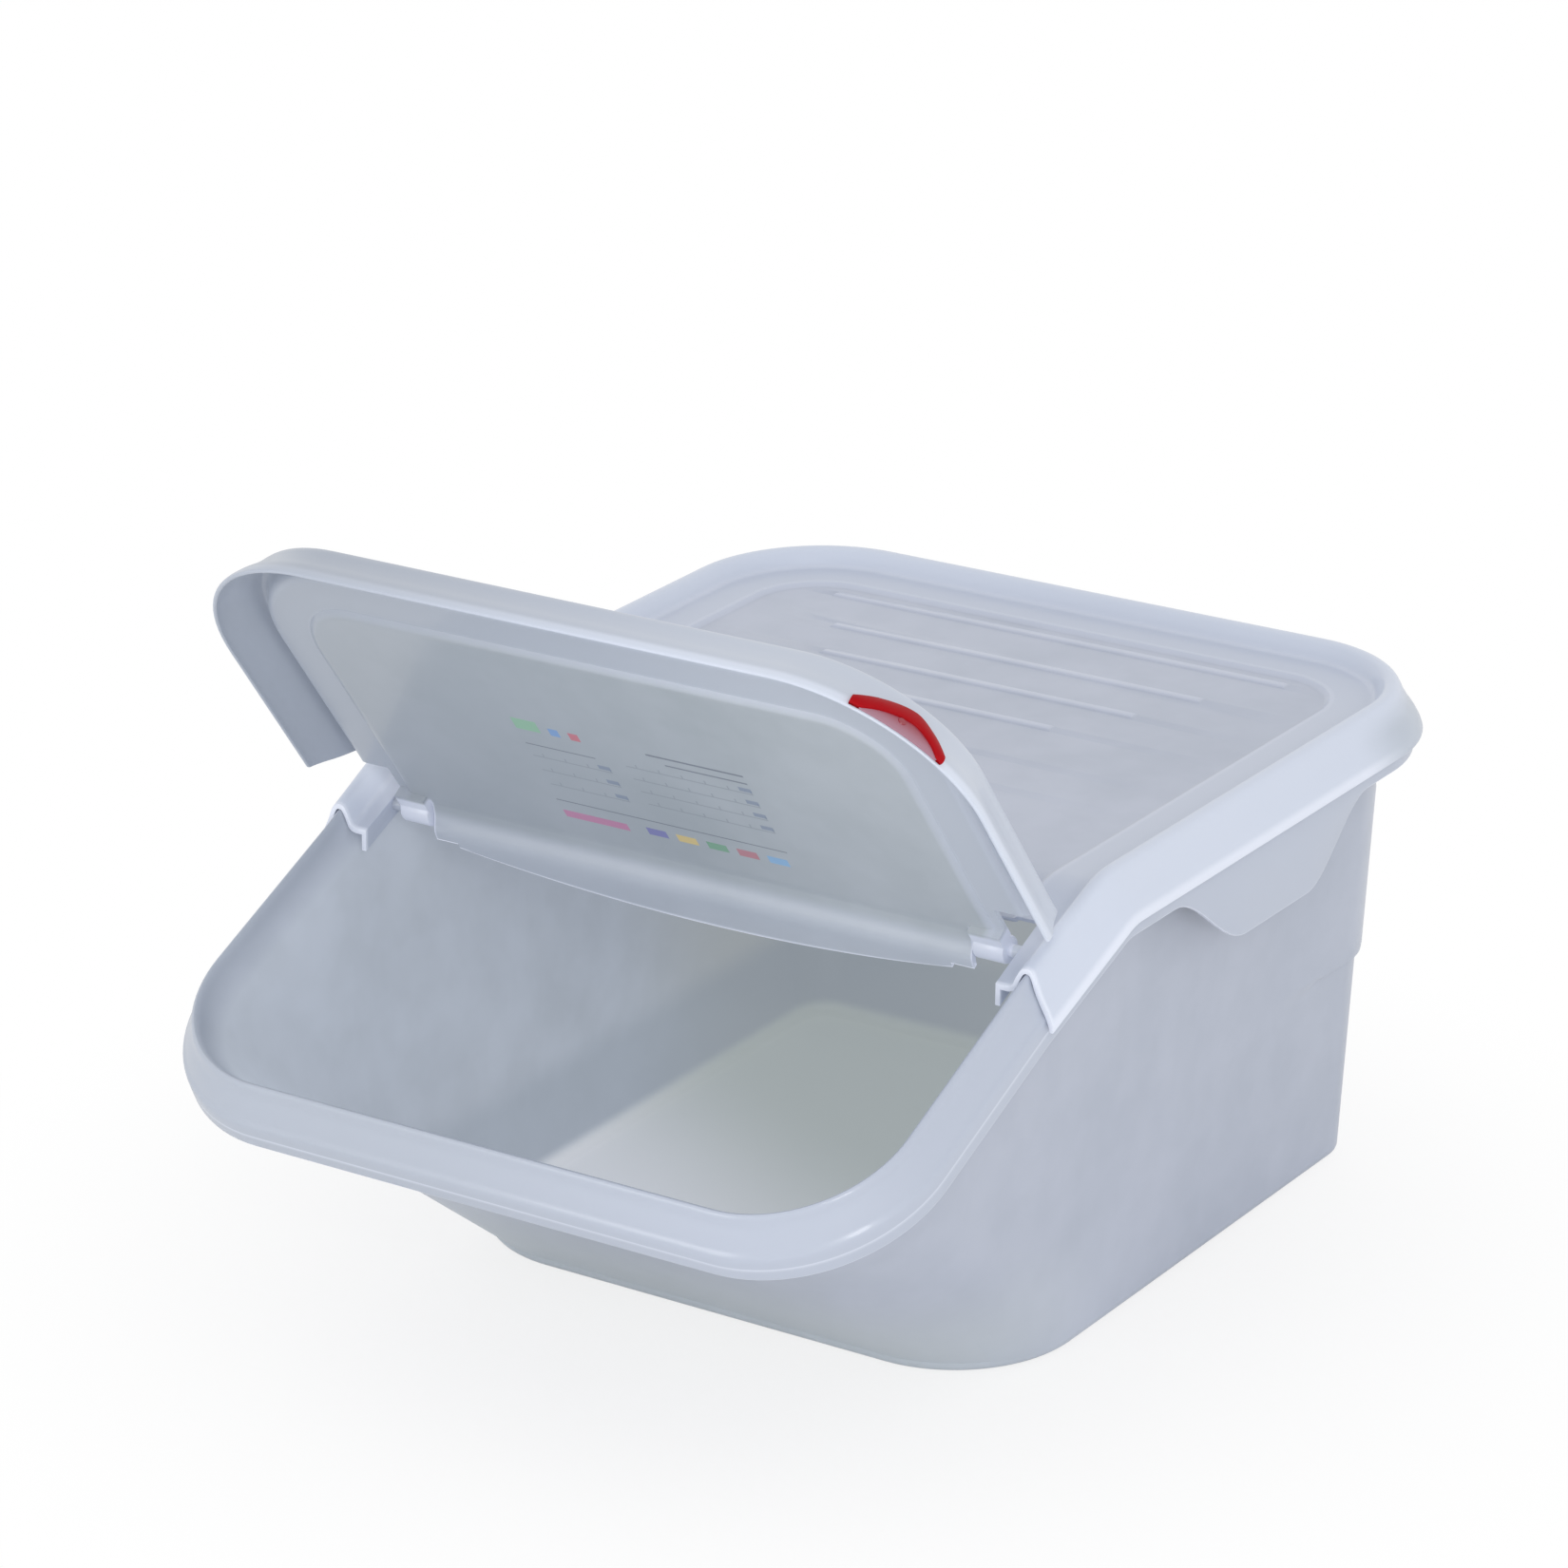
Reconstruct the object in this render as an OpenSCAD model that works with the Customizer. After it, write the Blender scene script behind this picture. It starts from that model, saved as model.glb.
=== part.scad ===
// Rice bin with a flip lid: a moulded bin whose mouth runs level at the back and slopes down
// at the front, a lift-off rear cover with two arms, and a flap that swings between the arms.
// The origin is under the middle of the bin, on the surface that it stands on. +Y is the back.

/* [Overall] */
// Width over the flange of the covers
body_w = 300; // [280:1:340]
// Level length, from the back edge to the bend
level_len = 235; // [225:1:270]
// Length of the slope, from the bend to the front edge
slope_len = 175.5; // [165:0.5:195]
// Angle of the slope below level
slope_angle = 24; // [18:1:28]
// Height of the lower edge of the rear cover
seat_z = 165; // [140:1:190]
// Radius of the bend between the level and the slope
bend_r = 22; // [16:1:30]
// Corner radius of the covers at the back
back_corner_r = 59; // [50:1:70]
// Corner radius of the covers at the front
front_corner_r = 58; // [50:1:70]
// How far each side draws in along the arms
front_inset = 2; // [0:0.25:2.5]

/* [Covers] */
// Wall of the covers
cover_t = 1.6; // [1.2:0.1:1.6]
// Height of the bead above the lower edge of the flange
bead_h = 17.5; // [16:0.5:20]
// Height of the border strip inside the bead
strip_h = 11; // [10:0.5:13]
// Depth of the panel below the border strip
panel_step = 1.5; // [0.5:0.25:2]
// Distance from the flange edge to the inner edge of the border strip
strip_off = 34; // [30:1:40]
// Height of the raised ribs on the panels
rib_h = 0.8; // [0.4:0.1:1.5]
// Width of the raised ribs
rib_w = 4; // [2:0.5:6]
// Distance from the border strip to the rib across the flap's front
rib_in = 12; // [8:1:20]
// Distance from the border strip to the ends of the flap's rib
rib_end_gap = 26; // [16:1:40]
// Gap between the inside of the bead and the rim it sits on
seat_gap = 0.4; // [0.3:0.1:0.8]

/* [Rim] */
// Wall of the bin
bin_t = 2; // [1.6:0.1:3]
// Distance from the flange edge to the skirt of the rim
skirt_off = 3; // [2.8:0.1:3]
// Depth of the skirt below the flange edge
skirt_drop = 6; // [4:0.5:8]
// Distance from the flange edge to the wall under the rim
wall_off = 16; // [15.5:0.5:18.5]
// Extra depth of the skirt at the side grips
grip_drop = 24.5; // [10:0.5:26]
// Distance from the bend back to the start of a grip
grip_start = 30; // [10:1:40]
// Length of a grip
grip_len = 128; // [90:1:130]

/* [Foot] */
// Half width of the foot
foot_half_w = 116; // [100:0.5:122]
// Distance from the back edge of the covers to the back of the foot
foot_back = 28.5; // [20:0.5:40]
// Distance from the front edge of the covers to the front of the foot
foot_front = 130; // [110:1:150]
// Corner radius of the foot at the back
foot_back_r = 14; // [12:1:20]
// Corner radius of the foot at the front
foot_front_r = 46; // [30:1:55]
// Rounding of the bottom edge
foot_edge = 4; // [2:0.5:6]
// Height of the stacking step in the back corners
step_z = 82; // [50:1:100]
// How far the wall stands out above the stacking step
step_out = 2; // [0:0.25:3]

/* [Hinge] */
// Distance from the bend down the slope to the hinge axis
hinge_s = 28.5; // [26:0.5:32]
// Height of the hinge axis above the flange edge
hinge_h = 7.75; // [7:0.25:8]
// Radius of the hinge pins
pin_r = 2.2; // [1.8:0.1:2.4]
// Radial clearance of the pins in their holes
pin_fit = 0.08; // [0.05:0.01:0.1]
// How far the pins stand out of the cheeks
pin_out = 0.4; // [0.2:0.1:1]
// Radius of the bosses that carry the pins
boss_r = 4.8; // [4:0.1:5.2]
// Length of a boss
boss_len = 12; // [8:0.5:14]
// Distance from the flange edge to the side of the flap's neck
neck_off = 29; // [28.5:0.5:33]
// Side gap between the flap and the arms
neck_gap = 5; // [3:0.5:5]
// Thickness of the cheeks that hold the pins
cheek_t = 1.8; // [1.4:0.1:1.8]
// Height of the cheeks' lower edge above the flange edge
cheek_h = 4.4; // [4.2:0.1:4.8]
// Distance from the bend to the front edge of the rear panel
rear_edge_s = 17; // [15:0.5:18]
// Distance from the bend to the ends of the arms, at the flange edge
arm_s = 51.5; // [47:0.5:54]
// How far the ends of the arms lean back for each unit of height
end_lean = 0.5; // [0:0.05:0.6]
// Gap between the arms and the skirts of the flap
arm_gap = 1.6; // [1.2:0.2:3]
// Angle of the flap from closed, as it stands
open_angle = 79; // [0:1:110]

/* [Flap] */
// Distance from the bend to the back edge of the flap's panel
panel_s = 33; // [32:0.5:35]
// Half width of the tail lip
tail_half_w = 99; // [90:1:104]
// Distance from the bend to the ends of the tail lip
tail_s = 20; // [18:0.5:22]
// How far the tail lip bows out at the middle
tail_bow = 10.5; // [6:0.5:12]
// Height of the tail lip's lower face
tail_h = 1; // [0:0.5:2]

/* [Clip and label] */
// Angle round the corner at which the colour clip starts
clip_from = 28; // [20:1:30]
// Angle round the corner at which the clip's band is highest
clip_knee = 41; // [36:1:50]
// Angle round the corner at which the colour clip ends
clip_to = 62; // [58:1:70]
// Height of the clip's lower edge above the flange edge
clip_foot = 0.4; // [0.2:0.1:1]
// Height of the clip's band at its knee
clip_h = 11.5; // [10:0.5:14]
// Height of the clip's band at its ends
clip_end_h = 3.5; // [2:0.5:6]
// Width of the clip's band
clip_band = 5.4; // [3:0.2:6]
// Thickness of the clip's web
clip_web_t = 0.8; // [0.6:0.1:1.2]
// Extra thickness of the clip's band
clip_band_t = 1; // [0.6:0.1:1.6]
// Gap between the clip and the flap
clip_gap = 0.3; // [0.2:0.05:0.5]
// Radius of the clip's peg
peg_r = 1.6; // [1.2:0.1:2]
// Height of the clip's peg above the flange edge
peg_h = 4.4; // [4:0.1:6]
// How far the clip's peg reaches through the flap's wall
peg_out = 0.4; // [0:0.1:0.4]
// Width of the label film
label_w = 100; // [60:1:160]
// Length of the label film down the flap
label_len = 70; // [50:1:75]
// Distance from the bend to the back edge of the label film
label_s = 39; // [37:1:45]
// Thickness of the label film
label_t = 0.2; // [0.15:0.05:0.4]

/* [Hidden] */

corner_n = 9;
bend_n = 5;
grip_n = 12;
plastic = [0.80, 0.84, 0.90];

half_w = body_w / 2;

// The shoulder of the rim is the foremost place, as the bin stands with its flap open
shoulder = [skirt_off + 0.2, 2.8];
depth = level_len + slope_len * cos(slope_angle);
back_y = (level_len + (slope_len - shoulder[0]) * cos(slope_angle)
    + shoulder[1] * sin(slope_angle)) / 2;
tangent = bend_r * tan(slope_angle / 2);
u_bend0 = level_len - tangent;
u_bend1 = u_bend0 + bend_r * slope_angle * PI / 180;
u_front = u_bend1 + slope_len - tangent;
taper_len = arm_s - tangent;
panel_h = strip_h - panel_step;
rim_top = bead_h - cover_t - seat_gap;
foot_len = depth - foot_back - foot_front;

// Places given as a distance forward from the back edge, along the mouth, and a height above
// the flange edge, are folded over the bend
function fold(x, u, h) =
    let (
        bent = min(max((u - u_bend0) / bend_r * 180 / PI, 0), slope_angle),
        level = min(u, u_bend0),
        s = max(u - u_bend1, 0),
        drawn = min(s / taper_len, 1) * front_inset / half_w,
        r = bend_r + h
    )
    [x * (1 - drawn), back_y - level - r * sin(bent) - s * cos(slope_angle),
     seat_z - bend_r + r * cos(bent) - s * sin(slope_angle)];

// A station is a place on the outline: its corner's centre, its radius, its direction, and how
// far along the foot's side it lies
function corner(cu, r, from, to) = [
    for (i = [0:corner_n]) [half_w - r, cu, r, from + (to - from) * i / corner_n, cu]];
function side(us) = [for (u = us) [half_w - back_corner_r, u, back_corner_r, 0, u]];
function bend_us() = [for (i = [bend_n:-1:0]) u_bend0 + (u_bend1 - u_bend0) * i / bend_n];
function grip_us() = [for (i = [0:grip_n]) level_len - grip_start - grip_len * i / grip_n];

cover_stations = concat(
    corner(u_front - front_corner_r, front_corner_r, 90, 0),
    side([u_bend1 + taper_len]),
    side(bend_us()),
    side([(u_bend0 + back_corner_r) / 2]),
    corner(back_corner_r, back_corner_r, 0, -90));
bin_stations = concat(
    corner(u_front - front_corner_r, front_corner_r, 90, 0),
    side([u_bend1 + taper_len]),
    side(bend_us()),
    side(grip_us()),
    corner(back_corner_r, back_corner_r, 0, -90));

function mirror_x(p) = [-p[0], p[1], p[2]];
function mix(a, b, f) = a + (b - a) * f;
function smooth(x) = let (t = min(max(x, 0), 1)) t * t * (3 - 2 * t);

// A whole ring runs counterclockwise seen from above: the right half from front to back, then
// its mirror image from back to front
function whole(half) = concat(half, [for (i = [len(half) - 1:-1:0]) mirror_x(half[i])]);
function mouth_point(st, o, h) =
    fold(st[0] + (st[2] - o) * cos(st[3]), st[1] + (st[2] - o) * sin(st[3]), h);
function mouth_ring(sts, o, h) = whole([for (st = sts) mouth_point(st, o, h)]);

// Faces between rings, and caps whose strips run straight across from side to side
function skin_faces(rings, n) = [
    for (j = [0:rings - 2], i = [0:n - 1])
        let (a = j * n + i, b = j * n + (i + 1) % n, c = b + n, d = a + n)
        each [[a, c, b], [a, d, c]]];
function cap_faces(start, n, up) = [
    for (i = [0:n / 2 - 2])
        let (a = start + i, b = a + 1, d = start + n - 1 - i, c = d - 1)
        each up ? [[a, c, b], [a, d, c]] : [[a, b, c], [a, c, d]]];
module skin(rings) {
    n = len(rings[0]);
    polyhedron(
        points = [for (r = rings) each r],
        faces = concat(
            cap_faces(0, n, false),
            skin_faces(len(rings), n),
            cap_faces((len(rings) - 1) * n, n, true)),
        convexity = 8);
}

// Section of the covers, from the flange edge over the bead to the panel, as distance inwards
// and height, and the same section moved in by the wall
cover_section = [
    [0, 0], [0.6, 2.2], [2.2, 5.4], [4.4, 8.6], [6.3, 12], [7.8, bead_h - 2.2],
    [9.2, bead_h - 0.5], [11.2, bead_h], [13.2, bead_h - 0.7], [14.9, bead_h - 3.1],
    [16.4, strip_h + 0.6], [18.2, strip_h], [strip_off - 1.5, strip_h], [strip_off, panel_h]];
function unit(v) = v / norm(v);
function inward(a, b) = let (d = unit(b - a)) [d[1], -d[0]];
function moved_in(path, t) = [
    for (i = [0:len(path) - 1])
        let (
            a = i == 0 ? [1, 0] : inward(path[i - 1], path[i]),
            b = i == len(path) - 1 ? [0, -1] : inward(path[i], path[i + 1])
        )
        path[i] + t * (i == 0 ? a : (a + b) / (1 + a * b))];
cover_under = moved_in(cover_section, cover_t);

module whole_cover() {
    skin(concat(
        [for (i = [len(cover_under) - 1:-1:0])
            mouth_ring(cover_stations, cover_under[i][0], cover_under[i][1])],
        [for (p = cover_section) mouth_ring(cover_stations, p[0], p[1])]));
}

// All that lies under the middle of the covers' wall, down to the flange edge
module under_cover() {
    skin([for (p = moved_in(cover_section, cover_t / 2))
        mouth_ring(cover_stations, p[0], p[1])]);
}

// Local frame of the slope: the bend at the flange edge, -Y down the slope, +Z square to it
module on_slope() {
    translate([0, back_y - level_len, seat_z]) rotate([slope_angle, 0, 0]) children();
}
module at_hinge() {
    on_slope() translate([0, -hinge_s, hinge_h]) children();
}
module both_sides() {
    children();
    mirror([1, 0, 0]) children();
}

neck_half_w = half_w - neck_off;
arm_x = neck_half_w + neck_gap;

// The flap's neck, seen square to the slope, and the region of its skirts
module neck_region() {
    reach = 2 * half_w;
    translate([-neck_half_w, -reach]) square([2 * neck_half_w, reach - panel_s]);
}
module skirt_region() {
    reach = 2 * half_w;
    skirt_s = arm_s + arm_gap;
    round_r = 4;
    translate([-reach, -reach]) square([2 * reach, reach - skirt_s - round_r]);
    translate([-half_w + round_r, -skirt_s - 2 * round_r])
        square([body_w - 2 * round_r, 2 * round_r]);
    both_sides() translate([half_w - round_r, -skirt_s - round_r]) circle(r = round_r);
}
// What the rear cover leaves free: the neck back to its front edge, and all beyond the arms
module neck_gap_region() {
    reach = 2 * half_w;
    translate([-arm_x, -reach]) square([2 * arm_x, reach - rear_edge_s]);
}
module beyond_arms_region() {
    reach = 2 * half_w;
    round_r = 3;
    difference() {
        translate([-reach, -reach]) square([2 * reach, reach - arm_s + round_r]);
        both_sides() {
            translate([arm_x - 1, -arm_s]) square([half_w - arm_x + 1 - round_r, 2 * round_r]);
            translate([half_w - round_r, -arm_s + round_r]) circle(r = round_r);
        }
    }
}
// Upright on the slope, or leaning back up the slope with height
module slope_prism(lean = 0) {
    tall = 120;
    on_slope() multmatrix([[1, 0, 0, 0], [0, 1, lean, 0], [0, 0, 1, 0], [0, 0, 0, 1]])
        translate([0, 0, -tall / 2]) linear_extrude(height = tall) children();
}

// Raised rib across a panel, with its top at rib_h over the panel
module rib(length) {
    sunk = 0.5;
    rotate([90, 0, 90]) translate([0, 0, -length / 2]) linear_extrude(height = length)
        polygon([[-rib_w / 2, -sunk], [rib_w / 2, -sunk], [rib_w / 4, rib_h], [-rib_w / 4, rib_h]]);
}

// Ribs of the rear panel: distance from the back edge and half length
rear_ribs = [[41, 96], [69, 78], [94, 66], [119, 48], [150, 24], [175, 14]];

// Box on the slope, by its sides, its distances from the bend and its heights
module slope_box(xs, ss, hs) {
    on_slope() translate([xs[0], -ss[1], hs[0]])
        cube([xs[1] - xs[0], ss[1] - ss[0], hs[1] - hs[0]]);
}

module rear_lid() {
    color(plastic) difference() {
        union() {
            difference() {
                whole_cover();
                slope_prism() neck_gap_region();
            }
            for (r = rear_ribs)
                translate([0, back_y - r[0], seat_z + panel_h]) rib(2 * r[1]);
            intersection() {
                under_cover();
                both_sides() slope_box([arm_x, arm_x + cheek_t], [rear_edge_s - 2, arm_s],
                    [cheek_h, bead_h]);
            }
        }
        slope_prism(end_lean) beyond_arms_region();
        both_sides() at_hinge() translate([arm_x - 1, 0, 0]) rotate([0, 90, 0])
            cylinder(r = pin_r + pin_fit, h = cheek_t + 1.5, $fn = 64);
    }
}

// Section of the flap's tail: from the panel it dips past the axis and runs back under the
// rear panel, as distance from the bend and height
tail_far = tail_s - tail_bow - 1;
tail_join = 1.5;
tail_top = [
    [panel_s + tail_join, panel_h], [panel_s - 1.5, panel_h - 0.8], [hinge_s, tail_h + 6.2],
    [hinge_s - 3.5, tail_h + 3.4], [tail_s + 1, tail_h + 2.2], [tail_far, tail_h + 1.8]];
tail_under = [
    [tail_far, tail_h], [tail_s + 1, tail_h + 0.4], [hinge_s - 2.5, tail_h + 1.6],
    [hinge_s + 1, tail_h + 4.6], [panel_s - 0.5, panel_h - 2.4], [panel_s + tail_join, panel_h - cover_t]];

boss_x = neck_half_w - boss_len;
module tail() {
    bow_r = (tail_half_w * tail_half_w + tail_bow * tail_bow) / (2 * tail_bow);
    web_half_w = boss_x - 1;
    intersection() {
        on_slope() rotate([90, 0, 90]) translate([0, 0, -web_half_w])
            linear_extrude(height = 2 * web_half_w)
                polygon([for (p = concat(tail_top, tail_under)) [-p[0], p[1]]]);
        slope_prism() union() {
            translate([-web_half_w, -panel_s - 2 * tail_join])
                square([2 * web_half_w, panel_s + 2 * tail_join - tail_s - 2]);
            intersection() {
                translate([-tail_half_w, -panel_s]) square([2 * tail_half_w, panel_s]);
                translate([0, -tail_s + tail_bow - bow_r]) circle(r = bow_r, $fn = 180);
            }
        }
    }
}

// Rib under the neck that joins a boss to the panel
module boss_web() {
    intersection() {
        under_cover();
        slope_box([boss_x, neck_half_w], [hinge_s, panel_s + boss_r],
            [hinge_h - boss_r / 2, bead_h]);
    }
}

module flap_shut() {
    peg_hole_r = peg_r + 0.2;
    difference() {
        union() {
            intersection() {
                whole_cover();
                union() {
                    slope_prism() neck_region();
                    slope_prism(end_lean) skirt_region();
                }
            }
            tail();
            both_sides() {
                boss_web();
                at_hinge() translate([boss_x, 0, 0]) rotate([0, 90, 0])
                    cylinder(r = boss_r, h = boss_len, $fn = 64);
                at_hinge() translate([neck_half_w - 1, 0, 0]) rotate([0, 90, 0])
                    cylinder(r = pin_r, h = 1 + neck_gap + cheek_t + pin_out, $fn = 64);
            }
            on_slope() translate([0, -slope_len + strip_off + rib_in, panel_h])
                rib(2 * (half_w - strip_off - rib_end_gap));
        }
        at_peg() cylinder(r = peg_hole_r, h = 6 * cover_t, center = true, $fn = 32);
    }
}

// Opens what is drawn shut
module opened() {
    at_hinge() rotate([-open_angle, 0, 0]) translate([0, hinge_s, -hinge_h])
        rotate([-slope_angle, 0, 0]) translate([0, level_len - back_y, -seat_z]) children();
}

module flip_flap() {
    color(plastic) opened() flap_shut();
}

// The clip lies on the outside of the flap's right front corner: a web inside an arched band
flare = [for (i = [0:7]) [cover_section[i][1], cover_section[i][0]]];
function flare_off(h) = lookup(h, flare);
function flare_out(h) =
    let (slant = flare_off(h + 0.5) - flare_off(h - 0.5))
    [-1, slant] / norm([-1, slant]);
function clip_station(t) =
    [half_w - front_corner_r, u_front - front_corner_r, front_corner_r, t];
function clip_point(t, h, away) =
    let (n = flare_out(h))
    mouth_point(clip_station(t), flare_off(h) + n[0] * away, h + n[1] * away);
clip_n = 14;
function clip_top(t) =
    let (f = abs(t - clip_knee) / (t < clip_knee ? clip_knee - clip_from : clip_to - clip_knee))
    clip_end_h + (clip_h - clip_end_h) * (1 - pow(f, 1.7));
function clip_ring(t) =
    let (
        top = clip_top(t),
        edge = clip_web_t * 0.4,
        low = max(top - clip_band, clip_foot + 2 * edge),
        rows = concat(
            [for (i = [0:3]) mix(clip_foot, low - edge, i / 3)],
            [low, (low + top) / 2, top]),
        web = clip_gap + clip_web_t,
        band = web + clip_band_t,
        thick = [web, web, web, web, band, band, band]
    )
    concat(
        [for (i = [6:-1:0]) clip_point(t, rows[i], thick[i])],
        [for (i = [0:6]) clip_point(t, rows[i], clip_gap)]);

peg_t = (clip_from + clip_to) / 2;
module at_peg() {
    p = clip_point(peg_t, peg_h, 0);
    q = clip_point(peg_t, peg_h, 1);
    d = unit(q - p);
    translate(p) rotate([0, acos(d[2]), atan2(d[1], d[0])]) children();
}

module clip_shut() {
    skin([for (i = [clip_n:-1:0]) clip_ring(clip_from + (clip_to - clip_from) * i / clip_n)]);
    at_peg() translate([0, 0, -cover_t - peg_out])
        cylinder(r = peg_r, h = cover_t + peg_out + clip_gap + clip_web_t / 2, $fn = 32);
}

module colour_clip() {
    color("firebrick") opened() clip_shut();
}

module label_film() {
    round_r = 4;
    color("white") opened() on_slope() translate([0, 0, panel_h])
        linear_extrude(height = label_t) difference() {
            translate([-label_w / 2, -label_s - label_len]) square([label_w, label_len]);
            for (x = [-1, 1], y = [0, 1])
                translate([x * label_w / 2, -label_s - y * label_len])
                    rotate(x < 0 ? (y == 0 ? -90 : 0) : (y == 0 ? 180 : 90))
                        difference() {
                            square(round_r);
                            translate([round_r, round_r]) circle(r = round_r, $fn = 32);
                        }
        }
}

// Foot of the bin: the same stations, drawn in by b, at height z
side_u0 = u_front - front_corner_r;
side_u1 = back_corner_r;
foot_y0 = back_y - foot_back;
function foot_point(st, b, z) =
    let (
        front = st[3] > 0,
        r = front ? foot_front_r : foot_back_r,
        along = min(max((st[4] - side_u1) / (side_u0 - side_u1), 0), 1),
        straight = foot_len - foot_front_r - foot_back_r,
        cy = foot_y0 - foot_back_r - straight * along
    )
    [foot_half_w - r + (r - b) * cos(st[3]), cy - (r - b) * sin(st[3]), z];
// Right side stations stand on the foot's own side, whatever its corner radius
function foot_ring(sts, b, z) = whole([for (st = sts) foot_point(st, b, z)]);

// The wall between the rim and the foot, f of the way down, with the stacking step's stand-out
function step_share(st) =
    st[3] > 0 ? 0 : 1 - smooth((st[4] - side_u1) / 70);
function wall_ring(sts, o, h, b, f, out) = whole([
    for (st = sts)
        mix(mouth_point(st, o, h), foot_point(st, b, foot_edge), f)
            + out * step_share(st) * [cos(st[3]), -sin(st[3]), 0]]);

// Depth of the skirt, with the grips
function grip_share(st) =
    let (f = (level_len - grip_start - st[4]) / grip_len)
    st[3] != 0 || f <= 0 || f >= 1 ? 0 : min(smooth(f / 0.36), smooth((1 - f) / 0.32));
function skirt_ring(sts, o) = whole([
    for (st = sts) mouth_point(st, o, -skirt_drop - grip_drop * grip_share(st))]);

wall_in = wall_off + bin_t;
wall_h = 2.6;
rim_in_h = wall_h + 0.9;
step_f = (seat_z + wall_h - step_z) / (seat_z + wall_h - foot_edge);

module bin() {
    sts = bin_stations;
    top = rim_top;
    so = skirt_off;
    over = [
        [so, -1], shoulder, [so + 1.6, 4.6], [so + 2.6, 6.4], [so + 4, 8.8],
        [so + 5.9, top - 3.6], [so + 6.9, top - 1], [so + 8.1, top], [so + 9.4, top - 1],
        [so + 10.4, top - 2.8]];
    under = [
        [wall_off, wall_h], [so + 9.2, top - 4.6], [so + 7.9, top - 5.4], [so + 5, 5.4],
        [so + bin_t, 2], [so + bin_t, -1]];
    color(plastic) skin(concat(
        [foot_ring(sts, foot_edge, 0), foot_ring(sts, foot_edge * 0.3, foot_edge * 0.3),
         foot_ring(sts, 0, foot_edge),
         wall_ring(sts, wall_off, wall_h, 0, step_f + 0.02, 0),
         wall_ring(sts, wall_off, wall_h, 0, step_f, step_out)],
        [for (p = under) mouth_ring(sts, p[0], p[1])],
        [skirt_ring(sts, so + bin_t), skirt_ring(sts, so)],
        [for (p = over) mouth_ring(sts, p[0], p[1])],
        [mouth_ring(sts, wall_in, rim_in_h),
         wall_ring(sts, wall_in, rim_in_h, bin_t, step_f, step_out),
         wall_ring(sts, wall_in, rim_in_h, bin_t, step_f + 0.02, 0),
         foot_ring(sts, bin_t, foot_edge + bin_t * 0.3),
         foot_ring(sts, bin_t + foot_edge * 0.3, bin_t + foot_edge * 0.3),
         foot_ring(sts, bin_t + foot_edge * 0.9, bin_t)]));
}

bin();
rear_lid();
flip_flap();
colour_clip();
label_film();
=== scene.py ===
# %% [markdown]
# # Rice bin with a flip lid
# A milky, translucent bin for dry goods. Its mouth runs level at the back and slopes down at the
# front. A cover is pressed on the level part, and a flap swings between the cover's two arms.
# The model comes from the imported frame, and each moulded piece is built again here with finer,
# rounder skins. Lengths in this script are millimetres until a mesh is made.

from math import atan2, cos, hypot, pi, radians, sin, tan

import bmesh
import bpy
from mathutils import Matrix, Vector


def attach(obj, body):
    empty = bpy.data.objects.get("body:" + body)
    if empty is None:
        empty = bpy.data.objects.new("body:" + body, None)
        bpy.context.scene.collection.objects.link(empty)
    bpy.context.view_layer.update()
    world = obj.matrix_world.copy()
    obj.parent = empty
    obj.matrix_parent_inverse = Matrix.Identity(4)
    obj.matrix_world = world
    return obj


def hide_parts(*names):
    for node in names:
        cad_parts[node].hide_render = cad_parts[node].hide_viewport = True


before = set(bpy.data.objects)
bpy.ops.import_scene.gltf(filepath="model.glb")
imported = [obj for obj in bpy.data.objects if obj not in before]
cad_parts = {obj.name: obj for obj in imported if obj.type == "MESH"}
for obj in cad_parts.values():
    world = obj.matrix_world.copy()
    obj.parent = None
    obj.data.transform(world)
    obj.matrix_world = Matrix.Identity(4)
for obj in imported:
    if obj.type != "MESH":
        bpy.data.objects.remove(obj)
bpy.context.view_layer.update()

# %% [markdown]
# ## Sizes
# These are the sizes of the part's source. The covers lie on a mouth that is folded once, at the
# bend, so most places are given as a distance forward from the back edge and a height. The sizes
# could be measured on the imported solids, but a skin needs the sections themselves, so the same
# names and values stand here again.

# %% Driving sizes
MM = 0.001
body_w, level_len, slope_len = 300.0, 235.0, 175.5
slope = radians(24.0)
seat_z, bend_r = 165.0, 22.0
back_corner_r, front_corner_r, front_inset = 59.0, 58.0, 2.0
cover_t, bead_h, strip_h = 1.6, 17.5, 11.0
panel_step, strip_off = 1.5, 34.0
rib_h, rib_w, rib_in, rib_end_gap = 0.8, 4.0, 12.0, 26.0
bin_t, skirt_off, skirt_drop, wall_off = 2.0, 3.0, 6.0, 16.0
seat_gap = 0.4
grip_drop, grip_start, grip_len = 24.5, 30.0, 128.0
foot_half_w, foot_back, foot_front = 116.0, 28.5, 130.0
foot_back_r, foot_front_r, foot_edge = 14.0, 46.0, 4.0
step_z, step_out = 82.0, 2.0
hinge_s, hinge_h = 28.5, 7.75
pin_r, pin_fit, pin_out, boss_r, boss_len = 2.2, 0.08, 0.4, 4.8, 12.0
neck_off, neck_gap, cheek_t, cheek_h = 29.0, 5.0, 1.8, 4.4
rear_edge_s, arm_s, end_lean, arm_gap = 17.0, 51.5, 0.5, 1.6
open_angle = radians(79.0)
panel_s, tail_half_w, tail_s, tail_bow, tail_h = 33.0, 99.0, 20.0, 10.5, 1.0
clip_from, clip_knee, clip_to = radians(28.0), radians(41.0), radians(62.0)
clip_foot, clip_h, clip_end_h, clip_band = 0.4, 11.5, 3.5, 5.4
clip_web_t, clip_band_t, clip_gap = 0.8, 1.0, 0.3
peg_r, peg_h, peg_out = 1.6, 4.4, 0.4
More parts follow.
